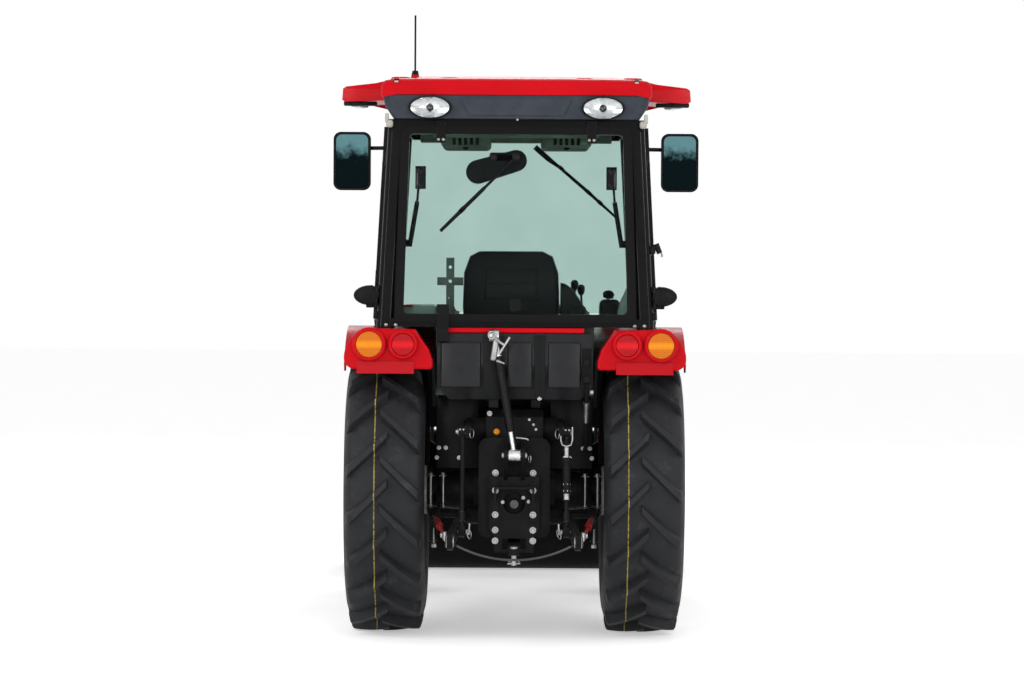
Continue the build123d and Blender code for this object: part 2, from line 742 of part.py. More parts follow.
def hinge_bar(low, high, radius, mode=Mode.ADD):
    """Round bar on the door's hinge axis between two heights above the belt."""
    centre = door_thickness / 2
    start = door_plane.from_local_coords((hinge_y, low, centre))
    end = door_plane.from_local_coords((hinge_y, high, centre))
    bar_between(tuple(start), tuple(end), radius, mode)


def hinge_leaf(x, y, z):
    """Flat block given by spans in the door's own plane: forward, up and outward."""
    with BuildSketch(door_plane.offset(z[0])) as leaf:
        with Locations(((x[0] + x[1]) / 2, (y[0] + y[1]) / 2)):
            Rectangle(x[1] - x[0], y[1] - y[0])
    extrude(leaf.sketch, amount=z[1] - z[0])


half_post = post_width / 2
front_top_y = cab_front_y - front_post_rake
post_top = cab_top_z - 4
post_foot = belt_z - 110
post_specs = (  # foot height, foot y, top y, width, depth, corner
    (post_foot, cab_rear_y, cab_rear_y, post_width, post_depth, 20),
    (belt_z - 20, cab_mid_y, cab_mid_y, 60, 50, 10),
    (floor_z + 3, cab_front_y, front_top_y, 60, 60, 16),
)
with BuildPart() as cab_frame:
    for side in both:
        for foot_z, foot_y, top_y, width, depth, corner in post_specs:
            foot = (side * (cab_side(foot_z) - half_post), foot_y, foot_z)
            head = (side * (cab_side(post_top) - half_post), top_y, post_top)
            post(foot, head, width, depth, corner)
        # panel between the rear and door posts, resting on the fender
        sill_inner = cab_half_base - post_width
        block(sided(side, sill_inner, cab_half_base - 4), (cab_rear_y, cab_mid_y + 25), (post_foot, belt_z + 40))
        rail_half = cab_half_top - post_width
        block(sided(side, rail_half, cab_half_top), (cab_rear_y - 30, front_top_y + 30), (cab_top_z - 50, cab_top_z))
    beam_half = cab_half_top - 40
    block((-beam_half, beam_half), (cab_rear_y - 30, cab_rear_y + 30), (cab_top_z - 50, cab_top_z))
    block((-beam_half, beam_half), (front_top_y - 30, front_top_y + 30), (cab_top_z - 50, cab_top_z))
    sill_half = cab_half_base - 50
    block((-sill_half, sill_half), (cab_rear_y - 30, cab_rear_y + 30), (belt_z + seat_gap, window_bottom + 14))
    clear_fender()
    # hinge brackets and pins that carry the doors
    with BuildPart(mode=Mode.PRIVATE) as door_hinges:
        for height in hinge_heights:
            low, high = height - 14, height - side_clearance
            hinge_bar(low, high, 13)
            hinge_bar(low, height + 34, hinge_pin_radius)
            hinge_leaf((hinge_y - 13, cab_mid_y - 2), (low, high), (-11.4, -2))
            hinge_leaf((hinge_y - 13, hinge_y + 10), (low, high), (-11.4, door_thickness / 2))
        mirror(about=Plane.YZ)
    add(door_hinges.part)
save(cab_frame.part, "cab_frame")

deck_front_y = rear_axle_y + 430
deck_half = fender_inner_x - seat_gap
wing_floor_y = rear_axle_y + rear_tyre_radius + 70  # the side wings of the floor start in front of the tyres
floor_front_y = cab_front_y + 48
with BuildPart() as cab_floor:
    block((-deck_half, deck_half), (rear_wall_y, deck_front_y), (deck_z - plate, deck_z))
    block((-deck_half, deck_half), (rear_wall_y, rear_wall_y + plate), (deck_z - plate, belt_z))
    block((-deck_half, deck_half), (deck_front_y - plate, deck_front_y), (floor_z - plate, deck_z))
    block((-deck_half, deck_half), (deck_front_y - plate, floor_front_y), (floor_z - plate, floor_z))
    for side in both:
        block(sided(side, deck_half - 10, cab_half_base - 4), (wing_floor_y, floor_front_y), (floor_z - plate, floor_z))
        block(sided(side, deck_half - plate, deck_half), (rear_wall_y, wing_floor_y), (deck_z - plate, belt_z))
        # mounts down to the gearcase and the lift cover
        mount = sided(side, 70, 110)
        block(mount, (gearcase_front_y - 190, gearcase_front_y - 130), (gearcase_top + seat_gap, floor_z - plate / 2))
        block(mount, (rear_axle_y - 100, rear_axle_y - 40), (lift_cover_top + seat_gap, deck_z - plate / 2))
save(cab_floor.part, "cab_floor")

firewall = (floor_front_y - 16, floor_front_y)
dash_top = belt_z + 30
dash_rear_y = cab_front_y - 110
column_foot = (0, cab_front_y - 60, dash_top - 45)
column_head = (0, cab_front_y - 231.7, dash_top + 96.5)
with BuildPart() as dashboard:
    block((-300, 300), firewall, (floor_z + seat_gap, dash_top - 41))
    for side in both:
        tapered_plate(
            sided(side, 120, 130), ((firewall[0] + 9, hood_hinge_z - 32, 9), (hood_hinge_y, hood_hinge_z, 9))
        )
        bar_x(sided(side, 120, 146), hood_hinge_y, hood_hinge_z, hood_pin_radius)
    # instrument panel, curved over towards the driver
    profile(
        side_plane(-210),
        [
            (firewall[0] + 0.5, dash_top - 225), (firewall[0] + 0.5, dash_top - 45), (firewall[0] - 24, dash_top),
            (dash_rear_y + 20, dash_top), (dash_rear_y, dash_top - 60), (dash_rear_y + 30, dash_top - 225),
        ],
        420, 8,
    )  # fmt: skip
    profile(
        side_plane(-150),
        [
            (dash_rear_y + 20, dash_top - 10), (dash_rear_y + 22, dash_top + 40), (dash_rear_y + 48, dash_top + 62),
            (dash_rear_y + 100, dash_top + 40), (dash_rear_y + 120, dash_top - 10),
        ],
        300, 8,
    )  # fmt: skip
    block((-90, 90), (cab_front_y - 80, floor_front_y - 8), (floor_z + seat_gap, dash_top - 220))
    bar_between(column_foot, column_head, 22)
save(dashboard.part, "dashboard")

wheel_centre = (0, cab_front_y - 232, dash_top + 96.8)
with BuildPart() as steering_wheel:
    wheel_face = Plane(origin=wheel_centre, x_dir=(1, 0, 0), z_dir=(0, -170, 140))
    radial = Plane(origin=wheel_centre, x_dir=(1, 0, 0), z_dir=-wheel_face.y_dir)
    with BuildSketch(radial):
        with Locations((185, 7)):
            RegularPolygon(14, 8, rotation=22.5)
    revolve(axis=Axis(wheel_centre, wheel_face.z_dir))
    with BuildSketch(wheel_face):
        Circle(45)
        with PolarLocations(95, 3, start_angle=90):
            Rectangle(180, 26)
    extrude(amount=14)
save(steering_wheel.part, "steering_wheel")

seat_mid_y = rear_axle_y + 50
seat_cushion_z = deck_z + 110
with BuildPart() as seat:
    # suspension box
    profile(
        side_plane(-150),
        [
            (seat_mid_y + 10, deck_z + seat_gap), (seat_mid_y + 330, deck_z + seat_gap),
            (seat_mid_y + 310, seat_cushion_z), (seat_mid_y + 30, seat_cushion_z),
        ],
        300,
    )  # fmt: skip
    # cushion, and the back that leans away from it
    profile(
        side_plane(-235),
        [
            (seat_mid_y - 30, seat_cushion_z), (seat_mid_y + 410, seat_cushion_z),
            (seat_mid_y + 420, seat_cushion_z + 90), (seat_mid_y - 30, seat_cushion_z + 70),
        ],
        470, 26,
    )  # fmt: skip
    with BuildSketch(cross_plane(seat_mid_y + 50)):
        with BuildLine():
            Polyline(
                (-225, seat_cushion_z + 10), (225, seat_cushion_z + 10), (232, seat_cushion_z + 250),
                (207, seat_cushion_z + 490), (-207, seat_cushion_z + 490), (-232, seat_cushion_z + 250), close=True,
            )  # fmt: skip
        make_face()
        fillet(vertices(), 60)
    extrude(amount=100)
    # document pocket pressed into the back panel
    block((-120, 120), (seat_mid_y - 60, seat_mid_y - 44), (seat_cushion_z + 280, seat_cushion_z + 400), mode=Mode.SUBTRACT)
save(seat.part, "seat")

console_outer = deck_half - plate - seat_gap
with BuildPart() as consoles:
    # moulded side consoles rise towards the armrests
    for side in both:
        span = sided(side, console_outer - 78, console_outer)
        profile(
            side_plane(span[0]),
            [
                (rear_axle_y - 60, deck_z + seat_gap), (rear_axle_y + 420, deck_z + seat_gap),
                (rear_axle_y + 410, belt_z - 60), (rear_axle_y + 330, belt_z + 30), (rear_axle_y + 20, belt_z + 60),
                (rear_axle_y - 60, belt_z + 20),
            ],
            78, 18,
        )  # fmt: skip
    # perforated bracket stands at the left, behind the seat
    bracket_y = cab_rear_y + 70
    bracket_x = -console_outer + 20
    with BuildSketch(cross_plane(bracket_y)) as bracket:
        with Locations((bracket_x + 24, belt_z + 110)):
            Rectangle(34, 360)
        with Locations((bracket_x + 24, belt_z + 190)):
            Rectangle(110, 34)
        for z in (belt_z + 60, belt_z + 120, belt_z + 190, belt_z + 250):
            with Locations((bracket_x + 24, z)):
                Circle(7, mode=Mode.SUBTRACT)
    extrude(bracket.sketch, amount=6)
    block((bracket_x - 16, bracket_x + 41), (bracket_y - 6, rear_axle_y - 50), (belt_z - 66, belt_z - 46))
save(consoles.part, "consoles")

step_rear_y = rear_axle_y + rear_tyre_radius + 75
step_heights = (360, 610)
with BuildPart() as steps:
    for side in both:
        for z in step_heights:
            block(sided(side, 425, 600), (step_rear_y, step_rear_y + 200), (z, z + 20))
            # drain slots across the tread
            for offset in (50, 100, 150):
                slot = (step_rear_y + offset - 12, step_rear_y + offset + 12)
                block(sided(side, 460, 580), slot, (z - 5, z + 25), mode=Mode.SUBTRACT)
        for y in (step_rear_y, step_rear_y + 188):
            block(sided(side, 425, 437), (y, y + 12), (step_heights[0], floor_z - plate - seat_gap))
save(steps.part, "steps")


def pane(border=0.0):
    """Rear window's trapezoid outline seen from behind, moved in by a border."""
    slope = (window_half_top - window_half_base) / (window_top - window_bottom)
    bottom, top = window_bottom + border, window_top - border
    wide = window_half_base + slope * border - border
    narrow = window_half_top - slope * border - border
    return [(-wide, bottom), (wide, bottom), (narrow, top), (-narrow, top)]


frame_front_y = cab_rear_y - post_depth / 2 - seat_gap
frame_rear_y = frame_front_y - 34
with BuildPart() as rear_window_frame:
    profile(cross_plane(frame_front_y), pane(), frame_front_y - frame_rear_y, 26)
    profile(cross_plane(frame_front_y), pane(window_border), frame_front_y - frame_rear_y, 22, mode=Mode.SUBTRACT)
    # shallow rebate round the outer edge for the seal
    profile(cross_plane(frame_front_y), pane(-5), 8)
    profile(cross_plane(frame_front_y), pane(7), 8, 20, mode=Mode.SUBTRACT)
save(rear_window_frame.part, "rear_window_frame")

side_lean = Vector(cab_half_top - cab_half_base, 0, cab_top_z - belt_z)
screen_foot_y = cab_front_y + 30 + seat_gap
screen_rise = cab_top_z - floor_z
screen_foot_half = cab_side(floor_z) - 46
screen_belt_half = cab_side(belt_z) - 51
screen_top_half = cab_half_top - 46
with BuildPart() as cab_glass:
    glass_front_y = window_rear_y - 6
    profile(cross_plane(glass_front_y), pane(window_border + seat_gap), glass_thickness, 22)
    # windscreen lies on the front posts, with a low pane each side of the hood
    screen_lean = Vector(0, -front_post_rake, screen_rise).normalized()
    screen_plane = Plane(
        origin=(0, screen_foot_y, floor_z), x_dir=(1, 0, 0), z_dir=(0, -screen_lean.Z, screen_lean.Y)
    )
    belt_rise = belt_z + 37 - floor_z
    low_inner = 300 + seat_gap
    profile(
        screen_plane,
        [
            (-screen_belt_half, belt_rise), (screen_belt_half, belt_rise),
            (screen_top_half, screen_rise - 30), (-screen_top_half, screen_rise - 30),
        ],
        -glass_thickness,
    )  # fmt: skip
    for side in both:
        profile(
            screen_plane,
            [
                (side * low_inner, 40), (side * screen_foot_half, 40),
                (side * (screen_belt_half + 4), belt_rise - 6), (side * low_inner, belt_rise - 6),
            ],
            -glass_thickness,
        )  # fmt: skip
    # quarter windows between the rear and door posts
    quarter = (30 + seat_gap, cab_mid_y - cab_rear_y - 25 - seat_gap)
    quarter_top = cab_top_z - belt_z - 52
    for side in both:
        outward = Vector(side * side_lean.Z, 0, -side_lean.X)
        foot = (side * (cab_half_base - 14), cab_rear_y, belt_z)
        corners = ((quarter[0], 42), (quarter[1], 42), (quarter[1], quarter_top), (quarter[0], quarter_top))
        profile(
            Plane(origin=foot, x_dir=(0, side, 0), z_dir=outward),
            [(side * forward, up) for forward, up in corners], glass_thickness,
        )  # fmt: skip
save(cab_glass.part, "cab_glass")


def door_sketch(inset, mode=Mode.ADD):
    """Door edge in its own plane, drawn forward and up from the belt line, moved in by an inset."""
    rear, front = cab_mid_y - 20 + inset, cab_front_y + 22 - inset
    foot_z, top = floor_z + plate + 16 + inset, cab_top_z - belt_z - 20 - inset
    arch = fender_radius + 30 + inset
    # the lower rear edge follows the fender's arch
    foot_y = rear_axle_y + sqrt(arch**2 - (foot_z - rear_tyre_radius) ** 2)
    middle_y = (rear + foot_y) / 2 + 60
    arch_z = {y: rear_tyre_radius + sqrt(arch**2 - (y - rear_axle_y) ** 2) - belt_z for y in (rear, middle_y)}
    start, middle, foot = (rear, arch_z[rear]), (middle_y, arch_z[middle_y]), (foot_y, foot_z - belt_z)
    front_top = front - front_post_rake + 6
    with BuildLine() as edge:
        ThreePointArc(start, middle, foot)
        Polyline(foot, (front, foot[1]), (front_top, top), (rear, top), start)
    make_face(edge.edges(), mode=mode)


door_border = 36
with BuildPart() as door_frame:
    with BuildSketch(door_plane):
        door_sketch(0)
        door_sketch(door_border, mode=Mode.SUBTRACT)
    extrude(amount=door_thickness)
    for height in hinge_heights:
        hinge_bar(height, height + 36, 11)
        hinge_leaf((hinge_y, cab_mid_y + 10), (height, height + 36), (5, door_thickness - 5))
        hinge_bar(height - 5, height + 45, hinge_pin_radius + running_clearance, mode=Mode.SUBTRACT)
    # grab handle on the front edge
    handle_y = cab_front_y - 44
    for height in (86, 206):
        hinge_leaf((handle_y, handle_y + 24), (height, height + 20), (door_thickness - 2, door_thickness + 30))
    hinge_leaf((handle_y, handle_y + 24), (86, 226), (door_thickness + 20, door_thickness + 34))
save_pair(door_frame.part, "door_frame")

with BuildPart() as door_glass:
    with BuildSketch(door_plane.offset(10)):
        door_sketch(door_border + seat_gap)
    extrude(amount=glass_thickness)
save_pair(door_glass.part, "door_glass")

# ---------------------------------------------------------------- roof
roof_mid_y = (roof_rear_y + roof_front_y) / 2


def roof_surface(x):
    """Height of the crowned roof at x, where the middle of its length governs."""
    sagitta = roof_crown - roof_edge_z
    radius = (roof_half**2 + sagitta**2) / (2 * sagitta)
    return roof_crown - radius + sqrt(radius**2 - x**2)


with BuildPart() as roof:
    # crowned across
    with BuildSketch(cross_plane(roof_front_y)):
        with BuildLine():
            Polyline(
                (-roof_half, roof_edge_z), (-roof_half, roof_seat_z), (roof_half, roof_seat_z), (roof_half, roof_edge_z)
            )
            ThreePointArc((roof_half, roof_edge_z), (0, roof_crown), (-roof_half, roof_edge_z))
        make_face()
    extrude(amount=roof_front_y - roof_rear_y)
    # and along, falling to the rear and front edges
    rear_edge, front_edge = (roof_rear_y, roof_edge_z + 14), (roof_front_y, roof_edge_z - 8)
    with BuildSketch(side_plane(-roof_half - 5)) as length_profile:
        with BuildLine():
            Polyline(rear_edge, (roof_rear_y, roof_seat_z), (roof_front_y, roof_seat_z), front_edge)
            ThreePointArc(front_edge, (roof_mid_y - 60, roof_crown + 2), rear_edge)
        make_face()
    extrude(length_profile.sketch, amount=2 * roof_half + 10, mode=Mode.INTERSECT)
    fillet(roof.edges().filter_by(Axis.Z), 45)
    # side wings carry the work lamps and taper at the front
    wing_front_y = roof_front_y - 60
    for side in both:
        with BuildSketch(Plane.XY.offset(wing_bottom)) as wing:
            with BuildLine():
                Polyline(
                    (side * (roof_half - 5), wing_rear_y), (side * wing_half, wing_rear_y),
                    (side * wing_half, wing_front_y - 120), (side * (wing_half - 70), wing_front_y),
                    (side * (roof_half - 5), wing_front_y), close=True,
                )  # fmt: skip
            make_face()
            fillet(wing.vertices().group_by(Axis.X)[-1 if side > 0 else 0], 26)
        extrude(wing.sketch, amount=wing_top - wing_bottom)
        with BuildSketch(Plane.XY.offset(wing_bottom - 12)) as strip:
            strip_y = (wing_rear_y + 30 + wing_front_y - 150) / 2
            with Locations((side * (wing_half - 50), strip_y)):
                RectangleRounded(70, wing_front_y - 150 - wing_rear_y - 30, 20)
        extrude(strip.sketch, amount=14)
    # low bosses over the rear edge
    for x in (-roof_half + 80, -roof_half / 2, roof_half / 2, roof_half - 80):
        boss_z = roof_surface(x)
        with Locations((x, roof_rear_y + 130, boss_z - 6)):
            Cylinder(16, 16)
save(roof.part, "roof")

fascia_rear_y = roof_rear_y + 6
fascia_front_y = roof_front_y - 20
fascia_half = roof_half - 8
fascia_low = cab_top_z + seat_gap
fascia_high = roof_seat_z - seat_gap
emboss_depth = 8
roof_lamp_x = fascia_half - 198
roof_lamp_z = (fascia_low + fascia_high) / 2 - 4
well = ((-430, 430), (cab_rear_y + 60, cab_front_y - 80), (cab_top_z - 10, fascia_high - 40))
with BuildPart() as roof_fascia:
    # sides lean in towards the bottom
    profile(
        cross_plane(fascia_front_y),
        [
            (-fascia_half + 44, fascia_low), (fascia_half - 44, fascia_low), (fascia_half - 10, fascia_low + 50),
            (fascia_half, fascia_high), (-fascia_half, fascia_high), (-fascia_half + 10, fascia_low + 50),
        ],
        fascia_front_y - fascia_rear_y,
    )  # fmt: skip
    corners = roof_fascia.edges().filter_by(Axis.X, reverse=True).filter_by(Axis.Y, reverse=True)
    fillet(corners, 36)
    # raised panel in the middle of the rear
    profile(
        cross_plane(fascia_rear_y + 2),
        [(-232, fascia_high - 12), (-196, fascia_low + 14), (196, fascia_low + 14), (232, fascia_high - 12)],
        emboss_depth, 8,
    )  # fmt: skip
    block(*well, mode=Mode.SUBTRACT)
save(roof_fascia.part, "roof_fascia")

with BuildPart() as headliner:
    liner_top = well[2][1] - seat_gap
    duct = (well[1][1] - 170 + 1, well[1][1] - 1)
    block((-429, 429), (well[1][0] + 1, well[1][1] - 1), (liner_top - 40, liner_top))
    profile(
        side_plane(-429),
        [
            (duct[0], liner_top - 35), (duct[0] + 24, liner_top - 120), (duct[1], liner_top - 120), (duct[1], liner_top - 35)
        ],
        858,
    )
save(headliner.part, "headliner")

lamp_depth = 30
side_lamp_z = belt_z + 130
with BuildPart() as lamps:
    for x in (-roof_lamp_x, roof_lamp_x):
        for face_y, out in ((fascia_rear_y - seat_gap, 1), (fascia_front_y + seat_gap + lamp_depth, 1)):
            with BuildSketch(cross_plane(face_y)):
                with Locations((x, roof_lamp_z)):
                    Ellipse(90, 48)
            extrude(amount=lamp_depth)
    # side lamps clamped to the rear posts
    post_face = cab_side(side_lamp_z - 42) + seat_gap
    for side in both:
        with BuildSketch(cross_plane(cab_rear_y + 30)) as body:
            with Locations((side * (post_face + 50), side_lamp_z)):
                RectangleRounded(100, 84, 26)
        extrude(body.sketch, amount=60)
        clamp_face = cab_side(side_lamp_z - 100) + seat_gap
        clamp_y = (cab_rear_y - 20, cab_rear_y + 20)
        block(sided(side, clamp_face, post_face + 30), clamp_y, (side_lamp_z - 100, side_lamp_z))
save(lamps.part, "lamps")

antenna_x = -430
with BuildPart() as antenna:
    foot_z = roof_surface(abs(antenna_x) - 18) + seat_gap
    with Locations((antenna_x, rear_axle_y - 200, foot_z)):
        Cone(20, 12, 36, align=(Align.CENTER, Align.CENTER, Align.MIN))
        Cylinder(4, 270, align=(Align.CENTER, Align.CENTER, Align.MIN))
save(antenna.part, "antenna")

mirror_x = cab_half_top + 212
mirror_y = cab_front_y + 60
mirror_z = cab_top_z - 145
arm_z = cab_top_z - 85
with BuildPart() as mirrors:
    # housings with rounded backs
    with BuildSketch(cross_plane(mirror_y + 25)) as shells:
        with Locations((-mirror_x, mirror_z), (mirror_x, mirror_z)):
            RectangleRounded(170, 266, 34)
    extrude(shells.sketch, amount=50)
    fillet(mirrors.faces().filter_by(Axis.Y).group_by(Axis.Y)[-1].edges(), 16)
    # recess of the mirror glass
    with BuildSketch(cross_plane(mirror_y - 15)) as recesses:
        with Locations((-mirror_x, mirror_z), (mirror_x, mirror_z)):
            RectangleRounded(150, 246, 26)
    extrude(recesses.sketch, amount=15, mode=Mode.SUBTRACT)
    # arms from clamps on the front posts
    clamp_rise = (arm_z - 26 - floor_z) / (post_top - floor_z)
    clamp_y = cab_front_y - front_post_rake * clamp_rise + 30 + seat_gap
    clamp_x = cab_side(arm_z) - 16
    for side in both:
        bar_between((side * clamp_x, clamp_y + 9, arm_z), (side * (mirror_x - 80), mirror_y + 5, arm_z), 9)
        block(sided(side, clamp_x - 12, clamp_x + 12), (clamp_y, clamp_y + 12), (arm_z - 26, arm_z + 26))
save(mirrors.part, "mirrors")

glass_rear_y = glass_front_y - glass_thickness
wiper_pivot_z = window_top - 128
with BuildPart() as window_fittings:
    for side in both:
        # strap hinges over the top edge, bolted to the header
        strap = sided(side, 296, 334)
        strap_top = window_top + 20
        block(strap, (frame_rear_y - 12, frame_rear_y - seat_gap), (strap_top - 90, strap_top))
        block(strap, (frame_rear_y - 12, frame_front_y), (window_top + 6, strap_top))
        # gas struts between the glass and the rear posts
        plate_z = window_top - 216
        strut_foot_z = belt_z + 350
        strut_foot_x = cab_side(strut_foot_z + 15) - post_width - seat_gap
        block(sided(side, 378, 422), (glass_front_y + seat_gap, glass_front_y + 8), (plate_z - 48, plate_z + 48))
        block(sided(side, strut_foot_x - 56, strut_foot_x), (cab_rear_y - 20, cab_rear_y - 8), (strut_foot_z - 15, strut_foot_z + 15))
        strut = (
            (side * 404, glass_front_y + 14, plate_z + 20), (side * 414, glass_front_y + 20, plate_z - 100),
            (side * (strut_foot_x - 48), cab_rear_y - 20, strut_foot_z),
        )  # fmt: skip
        bar_between(strut[0], strut[1], 5)
        bar_between(strut[1], strut[2], 10)
    # latch on the lower edge
    with BuildSketch(cross_plane(glass_rear_y - seat_gap)) as latch:
        with Locations((0, window_bottom + 72)):
            RectangleRounded(48, 50, 14)
    extrude(latch.sketch, amount=22)
    # wiper motor inside the glass
    motor_z = wiper_pivot_z - 45
    with BuildSketch(cross_plane(glass_front_y + 36)) as motor:
        for x, z, radius in ((-160, motor_z - 18, 50), (0, motor_z + 30, 45)):
            with Locations((x, z)):
                Circle(radius)
        make_hull()
    extrude(motor.sketch, amount=36 - seat_gap)
    # wiper arm and blade outside
    hub = (0, glass_rear_y - seat_gap, wiper_pivot_z)
    bar_between(hub, (0, glass_rear_y - 26, wiper_pivot_z), 14)
    elbow = (-225, glass_rear_y - 20, wiper_pivot_z - 222)
    bar_between((0, glass_rear_y - 20, wiper_pivot_z), elbow, 6)
    bar_between(elbow, (-225, glass_rear_y - 8, wiper_pivot_z - 222), 8)
    bar_between((-138, glass_rear_y - 8, wiper_pivot_z - 136), (-312, glass_rear_y - 8, wiper_pivot_z - 308), 6)
save(window_fittings.part, "window_fittings")

pipe_radius = 9
pipe_x = fender_inner_x - 34
pipe_route = (
    (pipe_x, tank_rear_y - 30, tank_bottom + 76),
    (pipe_x, rear_axle_y - 300, gearcase_top - 50),
    (pipe_x, rear_axle_y, rear_tyre_radius + trumpet_radius + 100),
)
with BuildPart() as rear_couplers:
    # rubber boot over the cables that enter below the window
    boot_rear_y = tank_rear_y - 24
    profile(
        side_plane(-tank_half - 2),
        [
            (glass_rear_y - seat_gap, window_bottom + 74), (glass_rear_y - seat_gap, window_bottom + window_border + 3),
            (frame_rear_y - seat_gap, window_bottom + window_border + 1), (frame_rear_y - seat_gap, window_bottom - 8),
            (tank_rear_y - seat_gap, tank_top + 14), (tank_rear_y - seat_gap, tank_top - 30),
            (boot_rear_y, tank_top - 34), (boot_rear_y, tank_top + 18), (frame_rear_y - 22, window_bottom + 30),
            (frame_rear_y - 14, window_bottom + 74),
        ],
        50,
    )  # fmt: skip
    # coupler plate on the tank with two couplers
    coupler_z = tank_bottom + 92
    block((pipe_x - 20, pipe_x + 20), (tank_rear_y - 6, tank_rear_y - seat_gap), (coupler_z - 24, tank_bottom + 220))
    bar_between((pipe_x, tank_rear_y - 3, coupler_z), (pipe_x, tank_rear_y - 60, coupler_z), 15)
    bar_between((pipe_x, tank_rear_y - 3, coupler_z + 70), (pipe_x, tank_rear_y - 52, coupler_z + 70), 13)
    # steel pipe down to the axle trumpet
    for start, end in zip(pipe_route, pipe_route[1:]):
        bar_between(start, end, pipe_radius)
        with Locations(end):
            Sphere(pipe_radius)
    trumpet_z = rear_tyre_radius + trumpet_radius + 8
    bar_between(pipe_route[-1], (pipe_x, rear_axle_y, trumpet_z), pipe_radius)
save(rear_couplers.part, "rear_couplers")

# ---------------------------------------------------------------- hood
hood_front_y = nose_y - 60
hood_sections = (  # y, half width, top, bottom, shoulder
    (hood_rear_y, hood_half, hood_top, hood_top - 545, 120),
    (hood_rear_y + 700, hood_half - 6, hood_top - 30, hood_top - 605, 120),
    (hood_front_y, hood_half - 25, hood_top - 130, hood_top - 645, 110),
)


def hood_body(inset, rear_extra):
    """Lofted hood envelope, shrunk by an inset and reaching further back."""
    faces = []
    for index, (y, half, top, bottom, shoulder) in enumerate(hood_sections):
        w, t, r = half - inset, top - inset, shoulder - inset / 2
        b = bottom - (inset and 40)
        with BuildSketch(cross_plane(y if index else y - rear_extra)) as section:
            with BuildLine():
                Polyline((w, t - r), (w, b), (-w, b), (-w, t - r))
                ThreePointArc((-w, t - r), (-w + 0.29 * r, t - 0.29 * r), (-w + r, t))
                Line((-w + r, t), (w - r, t))
                ThreePointArc((w - r, t), (w - 0.29 * r, t - 0.29 * r), (w, t - r))
            make_face()
        faces.append(section.sketch)
    loft(sections=faces, ruled=True)


louvre_count = 7
louvre_rear_y = hood_rear_y + 330
with BuildPart() as hood_core:
    hood_body(hood_wall, 40)
with BuildPart() as hood:
    hood_body(0, 0)
    add(hood_core.part, mode=Mode.SUBTRACT)
    # raised spine along the top
    spine = [
        (hood_rear_y + 60, hood_top - 14), (hood_rear_y + 90, hood_top + 6), (hood_rear_y + 700, hood_top - 20),
        (hood_front_y - 60, hood_top - 106), (hood_front_y - 60, hood_top - 126), (hood_rear_y + 700, hood_top - 38),
    ]  # fmt: skip
    profile(side_plane(-85), spine, 170)
    # slanted cooling slots through both sides
    for index in range(louvre_count):
        slot_y = louvre_rear_y + index * 46
        with BuildSketch(side_plane(-hood_half - 10)) as slot:
            with Locations((slot_y, hood_top - 330)):
                SlotOverall(170, 18, rotation=70)
        extrude(slot.sketch, amount=2 * hood_half + 20, mode=Mode.SUBTRACT)
    for side in both:
        tapered_plate(
            sided(side, 131.5, 143.5), ((hood_hinge_y, hood_hinge_z, 12), (hood_hinge_y + 30, hood_hinge_z + 4, 12))
        )
        bore = sided(side, 128, 148)
        bar_x(bore, hood_hinge_y, hood_hinge_z, hood_pin_radius + running_clearance, mode=Mode.SUBTRACT)
save(hood.part, "hood")

grille_half = hood_half - 37
grille_top, grille_bottom = hood_top - 150, hood_top - 633
headlamp_x, headlamp_z, headlamp_radius = grille_half - 78, grille_top - 96, 62
with BuildPart() as grille:
    profile(
        cross_plane(nose_y - 20),
        [
            (-grille_half, grille_bottom), (grille_half, grille_bottom), (grille_half, grille_top - 60),
            (grille_half - 60, grille_top), (-grille_half + 60, grille_top), (-grille_half, grille_top - 60),
        ],
        40 - seat_gap, 20,
    )  # fmt: skip
    # upright openings between the bars
    with BuildSketch(cross_plane(nose_y - 15)) as openings:
        with Locations(*[(x, grille_bottom + 165) for x in (-150, -90, -30, 30, 90, 150)]):
            RectangleRounded(38, 250, 12)
    extrude(openings.sketch, amount=60, mode=Mode.SUBTRACT)
    for side in both:
        lamp_face = (side * headlamp_x, nose_y - 15, headlamp_z)
        bar_between(lamp_face, (side * headlamp_x, nose_y - 32, headlamp_z), headlamp_radius, mode=Mode.SUBTRACT)
        bar_between((side * headlamp_x, nose_y - 34, headlamp_z), (side * headlamp_x, nose_y - 24, headlamp_z), 52)
save(grille.part, "grille")

